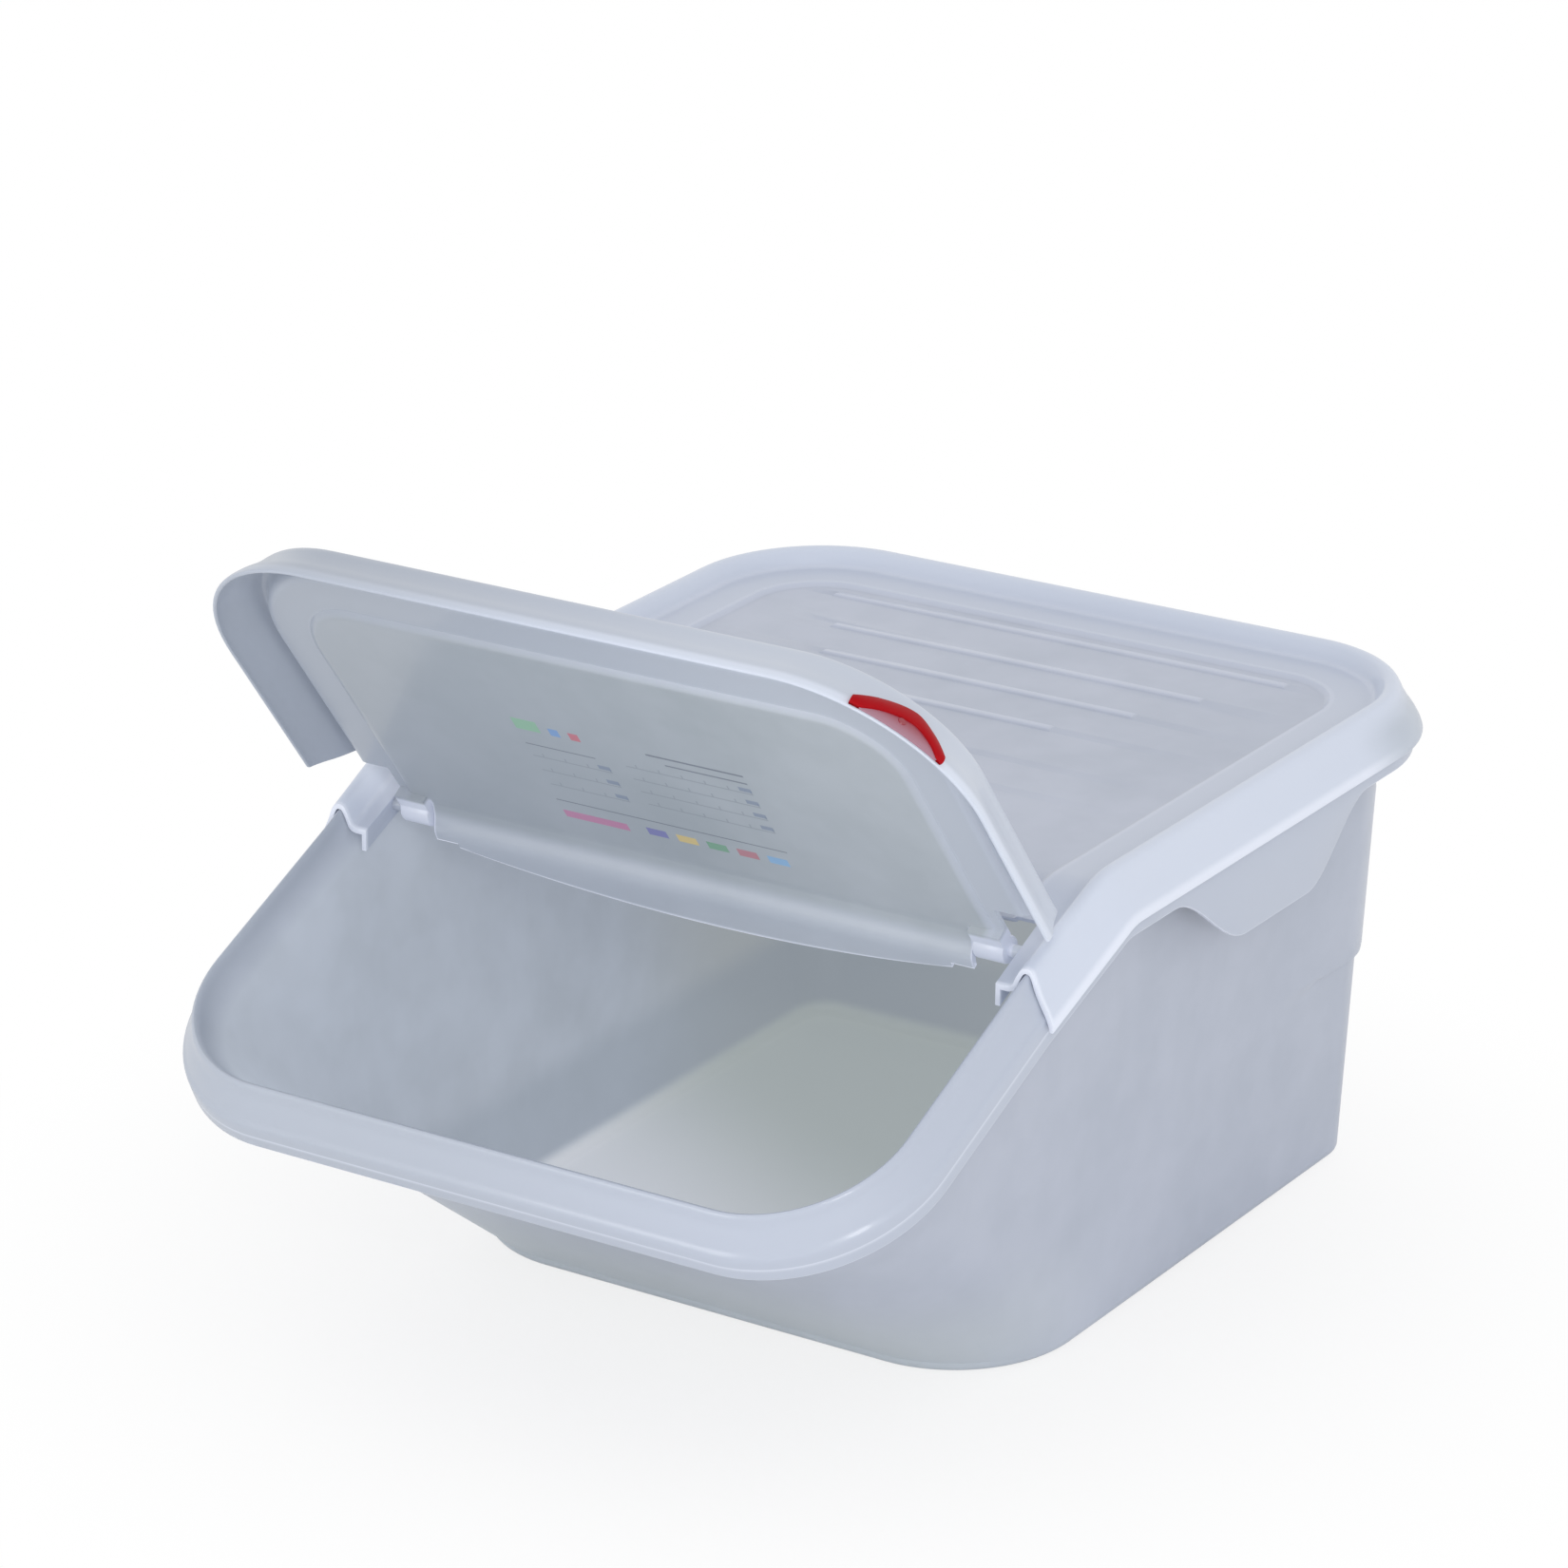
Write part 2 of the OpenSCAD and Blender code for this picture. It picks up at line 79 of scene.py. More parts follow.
label_w, label_len, label_s, label_t = 100.0, 70.0, 39.0, 0.2

half_w = body_w / 2
shoulder = (skirt_off + 0.2, 2.8)
depth = level_len + slope_len * cos(slope)
back_y = (level_len + (slope_len - shoulder[0]) * cos(slope) + shoulder[1] * sin(slope)) / 2
tangent = bend_r * tan(slope / 2)
u_bend0 = level_len - tangent
u_bend1 = u_bend0 + bend_r * slope
u_front = u_bend1 + slope_len - tangent
panel_h = strip_h - panel_step
rim_top = bead_h - cover_t - seat_gap
foot_len = depth - foot_back - foot_front
taper_len = arm_s - tangent
neck_half_w = half_w - neck_off
arm_x = neck_half_w + neck_gap
print(f"depth {depth:.1f} mm, back edge at y {back_y:.1f} mm, front at u {u_front:.1f} mm")

# %% [markdown]
# ## Camera
# A long lens looks down at the bin's front right corner, as it does in the photograph. It could
# be aimed by eye, but the long straight rims show small errors, so its angles and distance come
# from a fit to the bin's outlines.

# %% Camera
azimuth, elevation, roll = radians(34.4936), radians(21.1362), -0.019656
camera_far, aim_x, aim_y = 2128.1, -21.0, 79.4
lens_px, image_px, film_w = 6490.8, 1650, 36.0
aim = Vector((0, back_y - 180, 80))

back = Vector((sin(azimuth) * cos(elevation), -cos(azimuth) * cos(elevation), sin(elevation)))
right = Vector((cos(azimuth), sin(azimuth), 0))
up = back.cross(right)
right, up = cos(roll) * right + sin(roll) * up, cos(roll) * up - sin(roll) * right
eye = aim + back * camera_far + right * aim_x + up * aim_y

camera = bpy.data.objects.new("camera", bpy.data.cameras.new("camera"))
camera.data.sensor_width = film_w
camera.data.lens = film_w * lens_px / image_px
camera.data.clip_end = 20
camera.matrix_world = Matrix.Translation(eye * MM) @ Matrix((right, up, back)).transposed().to_4x4()
bpy.context.scene.collection.objects.link(camera)
bpy.context.scene.camera = camera
print(f"lens {camera.data.lens:.1f} mm at {camera.matrix_world.translation}")

# %% [markdown]
# ## Outline and folding
# The real mouth is one rounded outline that bends once, from level to sloping. It could be made
# of two plates that meet, but then every bead would break at the bend. Here a section is drawn on
# the flat outline, as distance inwards and height, and then folded, so that it runs on over the
# bend. A station is a place on the outline: its corner's centre, its radius, its direction, and
# how far along the foot's side it lies.

# %% Folding over the bend
def clamp(value, low, high):
    return min(max(value, low), high)


def smooth(x):
    t = clamp(x, 0, 1)
    return t * t * (3 - 2 * t)


def drawn_in(u):
    return clamp((u - u_bend1) / taper_len, 0, 1) * front_inset / half_w


def fold(x, u, h):
    bent = clamp((u - u_bend0) / bend_r, 0, slope)
    level, s, r = min(u, u_bend0), max(u - u_bend1, 0), bend_r + h
    return Vector((
        x * (1 - drawn_in(u)),
        back_y - level - r * sin(bent) - s * cos(slope),
        seat_z - bend_r + r * cos(bent) - s * sin(slope)))


def spread(a, b, n):
    return [a + (b - a) * i / n for i in range(n + 1)]


def corner(cu, r, a, b, n=22):
    return [(half_w - r, cu, r, t, cu) for t in spread(radians(a), radians(b), n)]


def side(us):
    return [(half_w - back_corner_r, u, back_corner_r, 0.0, u) for u in us]


taper_u = u_bend1 + taper_len
front_us = (spread(u_front - front_corner_r - 6, taper_u + 6, 6) + [taper_u]
            + spread(taper_u - 6, u_bend1 + 4, 5))
grip_us = spread(level_len - grip_start, level_len - grip_start - grip_len, 48)
stations = (
    corner(u_front - front_corner_r, front_corner_r, 90, 0)
    + side(front_us)
    + side(spread(u_bend1, u_bend0, 12))
    + side(grip_us)
    + side([grip_us[-1] - 10])
    + corner(back_corner_r, back_corner_r, 0, -90))


def place(station, off, rise):
    cx, cu, r, t, _ = station
    return fold(cx + (r - off) * cos(t), cu + (r - off) * sin(t), rise)


def whole(half):
    return half + [Vector((-p.x, p.y, p.z)) for p in reversed(half)]


def mouth_ring(off, rise):
    return whole([place(st, off, rise) for st in stations])


print(len(stations), "stations on each side")

# %% [markdown]
# ## Meshes
# Moulded walls are closed skins. They could be sheets that get their thickness from a modifier,
# but the inner and outer faces differ at lips and steps, so both are drawn. A skin joins rings of
# points, and its two ends are closed by strips that run straight across. Prisms and turned
# profiles serve as blocks, pins and cutters.

# %% Mesh helpers
def link_piece(name, mesh):
    piece = bpy.data.objects.new(name, mesh)
    bpy.context.scene.collection.objects.link(piece)
    return piece


def mesh_piece(name, points, faces):
    mesh = bpy.data.meshes.new(name)
    mesh.from_pydata([Vector(p) * MM for p in points], [], faces)
    mesh.validate()
    return link_piece(name, mesh)


def cap(start, n, upwards):
    faces = []
    for i in range(n // 2 - 1):
        a, b, d, c = start + i, start + i + 1, start + n - 1 - i, start + n - 2 - i
        faces.append((a, b, c, d) if not upwards else (a, d, c, b))
    return faces


def skin(name, rings):
    n = len(rings[0])
    faces = cap(0, n, False)
    for j in range(len(rings) - 1):
        for i in range(n):
            a, b = j * n + i, j * n + (i + 1) % n
            faces.append((a, a + n, b + n, b))
    faces += cap((len(rings) - 1) * n, n, True)
    return mesh_piece(name, [p for ring in rings for p in ring], faces)


def prism(name, outline, low, high, to_world):
    points = [to_world(x, s, h) for h in (low, high) for x, s in outline]
    n = len(outline)
    faces = [tuple(range(n)), tuple(reversed(range(n, 2 * n)))]
    faces += [(i, i + n, (i + 1) % n + n, (i + 1) % n) for i in range(n)]
    piece = mesh_piece(name, points, faces)
    turn_outwards(piece)
    return piece


def turn_outwards(piece):
    work = bmesh.new()
    work.from_mesh(piece.data)
    bmesh.ops.recalc_face_normals(work, faces=work.faces)
    work.to_mesh(piece.data)
    work.free()


def lathe(name, profile, to_world, n=48):
    """Turns a profile of (distance along, radius) about an axis."""
    points, faces = [], []
    for along, radius in profile:
        points += [to_world(along, radius, 2 * pi * i / n) for i in range(n)]
    for j in range(len(profile) - 1):
        for i in range(n):
            k = (i + 1) % n
            faces.append((j * n + i, (j + 1) * n + i, (j + 1) * n + k, j * n + k))
    faces += [tuple(range(n)), tuple(reversed(range(len(points) - n, len(points))))]
    piece = mesh_piece(name, points, faces)
    turn_outwards(piece)
    return piece


def apply_modifiers(piece):
    graph = bpy.context.evaluated_depsgraph_get()
    done = bpy.data.meshes.new_from_object(piece.evaluated_get(graph))
    piece.modifiers.clear()
    piece.data = done


def cut(piece, tool, operation):
    modifier = piece.modifiers.new("cut", "BOOLEAN")
    modifier.operation, modifier.solver, modifier.object = operation, "EXACT", tool
    apply_modifiers(piece)
    bpy.data.objects.remove(tool)
    return piece


def soften(piece, width=0.0, angle=34):
    if width:
        modifier = piece.modifiers.new("edge", "BEVEL")
        modifier.width, modifier.segments = width * MM, 2
        modifier.limit_method, modifier.angle_limit = "ANGLE", radians(angle)
        modifier.harden_normals = False
        apply_modifiers(piece)
    for face in piece.data.polygons:
        face.use_smooth = True
    piece.data.set_sharp_from_angle(angle=radians(angle))
    return piece


print("skins, prisms and turned profiles are drawn in mm and made in metres")

# %% [markdown]
# The bead's section is a soft curve. It could be arcs set end to end, but a curve that passes
# through a short list of points is easier to fit to the photograph. The wall's other face is the
# same curve moved inwards by the wall's thickness.

# %% Curves through points
def curve(points, steps=4):
    """Catmull-Rom curve through points."""
    padded = [points[0], *points, points[-1]]
    result = []
    for a, b, c, d in zip(padded, padded[1:], padded[2:], padded[3:]):
        for i in range(steps):
            t = i / steps
            result.append(tuple(
                0.5 * (2 * q + (r - p) * t + (2 * p - 5 * q + 4 * r - s) * t * t
                       + (3 * q - p - 3 * r + s) * t ** 3)
                for p, q, r, s in zip(a, b, c, d)))
    return result + [points[-1]]


def moved_in(path, t):
    result = []
    for i, p in enumerate(path):
        a, b = path[max(i - 1, 0)], path[min(i + 1, len(path) - 1)]
        long = hypot(b[0] - a[0], b[1] - a[1])
        result.append((p[0] + t * (b[1] - a[1]) / long, p[1] - t * (b[0] - a[0]) / long))
    return result


print(len(curve([(0, 0), (1, 1), (2, 0)])), "points on a curve through three")

# %% [markdown]
# ## Covers
# On the real bin the rear cover and the flap carry one bead, which runs on from one to the other
# when the flap is shut. They could be built apart, but their beads might not meet. So both are cut
# from one shell: the flap fits a neck between the cover's two arms, and its skirts start where the
# arms end. The flap is drawn shut and then swung open.

# %% Cover shell
bead = curve([
    (0, 0.6), (0.6, 2.4), (2.2, 5.4), (4.4, 8.6), (6.3, 12), (7.8, bead_h - 2.2),
    (9.2, bead_h - 0.5), (11.2, bead_h), (13.2, bead_h - 0.7), (14.9, bead_h - 3.1),
    (16.4, strip_h + 0.6), (18.2, strip_h)])
border = [
    (strip_off - 3, strip_h), (strip_off - 1.7, strip_h - 0.15), (strip_off - 0.4, panel_h + 0.2),
    (strip_off + 0.6, panel_h), (strip_off + 2, panel_h)]
cover_top = bead + border
cover_under = moved_in(cover_top, cover_t)
lip = [(0.1, 0.15), (0.45, -0.1), (0.9, -0.15), (1.3, 0.0)]


def cover_shell():
    under = [mouth_ring(off, rise) for off, rise in reversed(cover_under)]
    edge = [mouth_ring(off, rise) for off, rise in reversed(lip)]
    top = [mouth_ring(off, rise) for off, rise in cover_top]
    return skin("cover_shell", under + edge + top)


def on_slope(x, s, h):
    return Vector((
        x,
        back_y - level_len - s * cos(slope) - h * sin(slope),
        seat_z - s * sin(slope) + h * cos(slope)))


def arc(cx, cy, r, a, b, n=8):
    return [(cx + r * cos(t), cy + r * sin(t)) for t in spread(radians(a), radians(b), n)]


def mirrored(outline):
    return outline + [(-x, s) for x, s in reversed(outline)]


def leaning(x, s, h):
    return on_slope(x, s - end_lean * h, h)


reach, clear = 2 * half_w, 60
skirt_s = arm_s + arm_gap
neck_outline = mirrored([(neck_half_w, panel_s), (neck_half_w, reach)])
skirt_outline = mirrored(
    [(neck_half_w - 2, skirt_s)] + arc(half_w - 4, skirt_s + 4, 4, -90, 0)
    + [(reach, skirt_s + 4), (reach, reach)])
gap_outline = mirrored([(arm_x, rear_edge_s), (arm_x, reach)])
beyond_outline = mirrored(
    [(arm_x - 1, arm_s - 1), (arm_x - 1, arm_s)] + arc(half_w - 3, arm_s - 3, 3, 90, 0)
    + [(reach, arm_s - 3), (reach, reach)])

hinge = on_slope(0, hinge_s, hinge_h)
swing = (Matrix.Translation(hinge * MM) @ Matrix.Rotation(-open_angle, 4, "X")
         @ Matrix.Translation(-hinge * MM))


def opened(piece):
    """Swings a piece that is drawn shut to where the flap stands."""
    piece.data.transform(swing)
    return piece


rear_lid = cover_shell()
rear_lid.name = "rear_lid"
cut(rear_lid, prism("neck_gap", gap_outline, -clear, clear, on_slope), "DIFFERENCE")
flip_flap = cover_shell()
flip_flap.name = "flip_flap"
flap_region = prism("flap_region", neck_outline, -clear, clear, on_slope)
cut(flap_region, prism("skirts", skirt_outline, -clear, clear, leaning), "UNION")
cut(flip_flap, flap_region, "INTERSECT")
print("rear lid", len(rear_lid.data.polygons), "faces, flap", len(flip_flap.data.polygons))

# %% [markdown]
# ### What is moulded on the covers
# Low ribs stiffen the panels, and two cheeks under the arms hold the flap's pins. Ribs could be
# painted, but their flanks catch the light, so they are joined on as shapes. A cheek is a block
# that rises into the middle of the cover's wall, so that it joins the bead without a gap.

# %% Ribs and cheeks
rib_root, rib_end_slope = 0.5, 2.5
rib_foot_half, rib_crest_half = rib_w * 0.8, rib_w * 0.32


def bar(name, centre, half_len, to_world):
    """Low rib with sloping flanks and ends."""
    way = [(-1, -1), (1, -1), (1, 1), (-1, 1)]
    crest_len = half_len - rib_end_slope
    points = [to_world(i * half_len, centre + j * rib_foot_half, -rib_root) for i, j in way]
    points += [to_world(i * crest_len, centre + j * rib_crest_half, rib_h) for i, j in way]
    faces = [(3, 2, 1, 0), (4, 5, 6, 7)]
    faces += [(i, (i + 1) % 4, (i + 1) % 4 + 4, i + 4) for i in range(4)]
    piece = mesh_piece(name, points, faces)
    turn_outwards(piece)
    return piece


def about_hinge(along, radius, turn):
    return on_slope(along, hinge_s + radius * cos(turn), hinge_h + radius * sin(turn))


def block(name, xs, ss, low):
    """Block on the slope that rises into the middle of the covers' wall."""
    outline = [(xs[0], ss[0]), (xs[1], ss[0]), (xs[1], ss[1]), (xs[0], ss[1])]
    core = [(cover_t / 2, 0)] + moved_in(cover_top, cover_t / 2)
    under_cover = skin("under_cover", [mouth_ring(off, rise) for off, rise in core])
    return cut(prism(name, outline, low, bead_h, on_slope), under_cover, "INTERSECT")


# How far each rib lies from the back edge, and half its length.
rear_ribs = [(41, 96), (69, 78), (94, 66), (119, 48), (150, 24), (175, 14)]
for number, (from_back, half_len) in enumerate(rear_ribs):
    rib = bar(f"rear_rib_{number}", from_back, half_len,
              lambda x, u, h: fold(x, u, panel_h + h))
    cut(rear_lid, rib, "UNION")
for sign in (-1, 1):
    xs = sorted((sign * arm_x, sign * (arm_x + cheek_t)))
    cut(rear_lid, block("cheek", xs, (rear_edge_s - 2, arm_s), cheek_h), "UNION")
cut(rear_lid, prism("beyond_arms", beyond_outline, -clear, clear, leaning), "DIFFERENCE")
for sign in (-1, 1):
    hole = [(sign * (arm_x - 1), pin_r + pin_fit), (sign * (arm_x + cheek_t + 0.5), pin_r + pin_fit)]
    cut(rear_lid, lathe("pin_hole", hole, about_hinge, 32), "DIFFERENCE")
edge_round = 0.35
soften(rear_lid, edge_round)
print("rear lid with ribs and cheeks:", len(rear_lid.data.polygons), "faces")

# %% [markdown]
# Behind the hinge, the flap has a tail that dips below the rear cover's panel. Its end bows out
# at the middle. It could be a bent plate, but its thickness tapers, so its top and underside are
# two curves that are followed across the flap. Each boss hangs from a small web at the neck's
# side, and a pin sticks out of it into the cheek's hole.

# %% Tail, bosses and pins
tail_top = curve([
    (panel_s + 1.5, panel_h), (panel_s - 1.5, panel_h - 0.8), (hinge_s, tail_h + 6.2),
    (hinge_s - 3.5, tail_h + 3.4), (tail_s + 1, tail_h + 2.2), (tail_s - tail_bow - 1, tail_h + 1.8)])
tail_under = curve([
    (panel_s + 1.5, panel_h - cover_t), (panel_s - 0.5, panel_h - 2.4), (hinge_s + 1, tail_h + 4.6),
    (hinge_s - 2.5, tail_h + 1.6), (tail_s + 1, tail_h + 0.4), (tail_s - tail_bow - 1, tail_h)])
bow_r = (tail_half_w ** 2 + tail_bow ** 2) / (2 * tail_bow)
web_half_w = neck_half_w - boss_len - 1
straight_rows, bowed_rows = 14, 8


def height_on(path, s):
    for (s1, h1), (s0, h0) in zip(path, path[1:]):
        if s0 <= s <= s1:
            return h0 + (h1 - h0) * (s - s0) / (s1 - s0)
    return path[-1][1] if s < path[-1][0] else path[0][1]


def tail_end(x):
    if abs(x) > tail_half_w:
        return tail_s + 2
    return tail_s - tail_bow + bow_r - (bow_r ** 2 - x * x) ** 0.5


def tail():
    xs = [-web_half_w, -tail_half_w - 0.01] + spread(-tail_half_w, tail_half_w, 40)
    xs += [tail_half_w + 0.01, web_half_w]
    points, faces = [], []
    for x in xs:
        ss = (spread(panel_s + 1.5, tail_s + 2.5, straight_rows)
              + spread(tail_s + 2.5, tail_end(x), bowed_rows)[1:])
        ring = [(s, height_on(tail_top, s)) for s in ss]
        ring += [(s, height_on(tail_under, s)) for s in reversed(ss)]
        points += [on_slope(x, s, h) for s, h in ring]
    n = 2 * (straight_rows + bowed_rows + 1)
    for j in range(len(xs) - 1):
        faces += [(j * n + i, j * n + (i + 1) % n, (j + 1) * n + (i + 1) % n, (j + 1) * n + i)
                  for i in range(n)]
    faces += [tuple(range(n)), tuple(reversed(range(len(points) - n, len(points))))]
    piece = mesh_piece("tail", points, faces)
    turn_outwards(piece)
    return piece


cut(flip_flap, tail(), "UNION")
for sign in (-1, 1):
    inner, outer = neck_half_w - boss_len, neck_half_w
    web = block("boss_web", sorted((sign * inner, sign * outer)), (hinge_s, panel_s + boss_r),
                hinge_h - boss_r / 2)
    cut(flip_flap, web, "UNION")
    boss = [(sign * inner, boss_r - 1), (sign * (inner + 0.3), boss_r - 0.3),
            (sign * (inner + 1), boss_r), (sign * (outer - 1), boss_r),
            (sign * (outer - 0.3), boss_r - 0.3), (sign * outer, boss_r - 1)]
    cut(flip_flap, lathe("boss", boss, about_hinge), "UNION")
    tip = neck_half_w + neck_gap + cheek_t + pin_out
    pin = [(sign * (outer - 1), pin_r), (sign * (tip - 0.4), pin_r), (sign * tip, pin_r - 0.4)]
    cut(flip_flap, lathe("pin", pin, about_hinge, 32), "UNION")
flap_rib = bar("flap_rib", slope_len - strip_off - rib_in, half_w - strip_off - rib_end_gap,
               lambda x, s, h: on_slope(x, s, panel_h + h))
cut(flip_flap, flap_rib, "UNION")
soften(opened(flip_flap), edge_round)
print("flap with tail and bosses:", len(flip_flap.data.polygons), "faces")

# %% [markdown]
# ## Colour clip
# A red arched band lies on the flap's right front corner, and tells which food is inside. A thin
# web fills the arch, and a peg holds it. The clip could be a flat piece that is bent on, but the
# flange flares, so each point is set off from the flange's own surface by a small gap.

# %% Clip
flare = [(h, off) for off, h in cover_top if h <= 16 and off < 9]


def flare_off(h):
    for (h0, a), (h1, b) in zip(flare, flare[1:]):
        if h <= h1:
            return a + (b - a) * (h - h0) / (h1 - h0)
    return flare[-1][1]


def clip_point(t, h, away):
    slant = flare_off(h + 0.5) - flare_off(h - 0.5)
    long = hypot(1, slant)
    station = (half_w - front_corner_r, u_front - front_corner_r, front_corner_r, t, 0)
    return place(station, flare_off(h) - away / long, h + away * slant / long)


def clip_top(t):
    side_len = clip_knee - clip_from if t < clip_knee else clip_to - clip_knee
    return clip_end_h + (clip_h - clip_end_h) * (1 - (abs(t - clip_knee) / side_len) ** 1.7)


def clip_ring(t, rows, thick):
    outer = [clip_point(t, h, away) for h, away in zip(rows, thick)]
    inner = [clip_point(t, h, clip_gap) for h in rows]
    return list(reversed(outer)) + inner


def clip_skin(name, rows_at, thick, n=48):
    rings = [clip_ring(t, rows_at(t), thick) for t in spread(clip_to, clip_from, n)]
    piece = skin(name, rings)
    turn_outwards(piece)
    return soften(opened(piece))


def band_rows(t):
    top = clip_top(t)
    low = max(top - clip_band, clip_foot)
    return [low, low + 0.3, low + 0.9, (low + top) / 2, top - 0.9, top - 0.3, top]


def web_rows(t):
    top = max(clip_top(t) - clip_band / 2, clip_foot + 0.5)
    return spread(clip_foot, top, 4)


web_out = clip_gap + clip_web_t
band_out = web_out + clip_band_t
clip_rim = clip_skin("clip_band", band_rows, [
    web_out, band_out - 0.35, band_out - 0.05, band_out, band_out - 0.05, band_out - 0.35, web_out])
clip_web = clip_skin("clip_web", web_rows, [web_out] * 5)
peg_t = (clip_from + clip_to) / 2
peg_at = clip_point(peg_t, peg_h, 0)
peg_axis = (clip_point(peg_t, peg_h, 1) - peg_at).normalized()
peg_side = peg_axis.orthogonal().normalized()
peg_other = peg_axis.cross(peg_side)


def about_peg(along, radius, turn):
    return peg_at + peg_axis * along + radius * (cos(turn) * peg_side + sin(turn) * peg_other)


peg = lathe("clip_peg", [
    (-cover_t - peg_out, peg_r - 0.3), (-cover_t, peg_r), (web_out - 0.2, peg_r),
    (web_out + 0.2, peg_r - 0.3)], about_peg, 32)
soften(opened(peg))
print("clip band", len(clip_rim.data.polygons), "faces")

# %% [markdown]
# ## Label film
# A thin film with rounded corners lies on the outside of the flap's panel. It could be a part of
# the flap's finish alone, but its edge shows from outside, so it is a piece of its own.

# %% Label
def rounded(w0, w1, s0, s1, r):
    return (arc(w1 - r, s0 + r, r, -90, 0) + arc(w1 - r, s1 - r, r, 0, 90)
            + arc(w0 + r, s1 - r, r, 90, 180) + arc(w0 + r, s0 + r, r, 180, 270))


label = prism("label", rounded(-label_w / 2, label_w / 2, label_s, label_s + label_len, 4),
              panel_h + 0.01, panel_h + label_t, on_slope)
soften(opened(label))
print("label", len(label.data.polygons), "faces")

# %% [markdown]
# ## Bin
# The bin is one moulding. Its rim rolls over outwards and ends in a skirt, which dips at the
# sides to make the finger grips, and its wall steps out towards the back for stacking. Rim and
# wall could be two pieces, but a seam would show at the mouth. So one skin runs from the foot up
# the wall, round the rim and down inside.

# %% Bin shell
foot_y0 = back_y - foot_back
side_u0, side_u1 = u_front - front_corner_r, back_corner_r


def foot_point(station, b, z):
    _, _, _, t, along_u = station
    r = foot_front_r if t > 0 else foot_back_r
    along = clamp((along_u - side_u1) / (side_u0 - side_u1), 0, 1)
    cy = foot_y0 - foot_back_r - (foot_len - foot_front_r - foot_back_r) * along
    return Vector((foot_half_w - r + (r - b) * cos(t), cy - (r - b) * sin(t), z))


def foot_ring(b, z):
    return whole([foot_point(st, b, z) for st in stations])


def step_share(station):
    return 0 if station[3] > 0 else 1 - smooth((station[4] - side_u1) / 70)


def wall_ring(off, rise, b, f, out):
    ring = []
    for st in stations:
        outward = Vector((cos(st[3]), -sin(st[3]), 0)) * out * step_share(st)
        rim, foot = place(st, off, rise), foot_point(st, b, foot_edge)
        ring.append(rim.lerp(foot, f) + outward)
    return whole(ring)


def grip_share(station):
    f = (level_len - grip_start - station[4]) / grip_len
    inside = station[3] == 0 and 0 < f < 1
    return min(smooth(f / 0.36), smooth((1 - f) / 0.32)) if inside else 0


def skirt_ring(off, lift):
    return whole([place(st, off, lift - skirt_drop - grip_drop * grip_share(st))
                  for st in stations])


so, top = skirt_off, rim_top
wall_in, wall_h = wall_off + bin_t, 2.6
step_f = (seat_z + wall_h - step_z) / (seat_z + wall_h - foot_edge)
rim_over = curve([
    (so, -1), shoulder, (so + 1.6, 4.6), (so + 2.6, 6.4), (so + 4, 8.8), (so + 5.9, top - 3.6),
    (so + 6.9, top - 1), (so + 8.1, top), (so + 9.4, top - 1), (so + 10.4, top - 2.8)], 3)
rim_under = curve([
    (wall_off, wall_h), (so + 9.2, top - 4.6), (so + 7.9, top - 5.4), (so + 5, 5.4),
    (so + bin_t, 2), (so + bin_t, -1)], 3)
foot_round = [(foot_edge * (1 - sin(t)), foot_edge * (1 - cos(t))) for t in spread(0, pi / 2, 6)]
inner_r = foot_edge * 0.9
floor_round = [(bin_t + inner_r * (1 - sin(t)), bin_t + inner_r * (1 - cos(t)))
               for t in spread(pi / 2, 0, 6)]
step_fs = [(step_f + 0.035, 0), (step_f + 0.012, 0), (step_f + 0.003, step_out * 0.9),
           (step_f - 0.01, step_out)]
skirt_lip = [(so + bin_t, 1), (so + bin_t - 0.2, 0.3), (so + bin_t / 2, 0), (so + 0.2, 0.3), (so, 1)]
rings = (
    [foot_ring(b, z) for b, z in foot_round]
    + [wall_ring(wall_off, wall_h, 0, f, 0) for f in (0.85, 0.7)]
    + [wall_ring(wall_off, wall_h, 0, f, out) for f, out in step_fs]
    + [wall_ring(wall_off, wall_h, 0, f, step_out) for f in (0.3, 0.15)]
    + [mouth_ring(off, rise) for off, rise in rim_under]
    + [skirt_ring(off, lift) for off, lift in skirt_lip]
    + [mouth_ring(off, rise) for off, rise in rim_over]
    + [mouth_ring(wall_in, wall_h + 0.9)]
    + [wall_ring(wall_in, wall_h + 0.9, bin_t, f, step_out) for f in (0.15, 0.3)]
    + [wall_ring(wall_in, wall_h + 0.9, bin_t, f, out) for f, out in reversed(step_fs)]
    + [wall_ring(wall_in, wall_h + 0.9, bin_t, f, 0) for f in (0.7, 0.85)]
    + [foot_ring(b, z) for b, z in floor_round])
bin_piece = skin("bin_shell", rings)
soften(bin_piece)
print("bin", len(bin_piece.data.polygons), "faces")

# %% [markdown]
# ## Marks for the finishes
# Each vertex of a cover keeps where it lay before the mouth was folded, and how far it is from
# the outline. The finishes could read places in the room, but then the print and the tones would
# slide over the flap when it swings. With marks they stay with the plastic.

# %% Marks on the covers
def unfolded(point):
    """Across, forward from the back edge, and height of a place on the folded mouth."""
    a, b = back_y - u_bend0 - point.y, point.z - seat_z + bend_r
    if a <= 0:
        return point.x, back_y - point.y, point.z - seat_z
    turn = atan2(a, b)
    if turn <= slope:
        return point.x, u_bend0 + bend_r * turn, hypot(a, b) - bend_r
    return (point.x, u_bend1 + a * cos(slope) - b * sin(slope),
            a * sin(slope) + b * cos(slope) - bend_r)


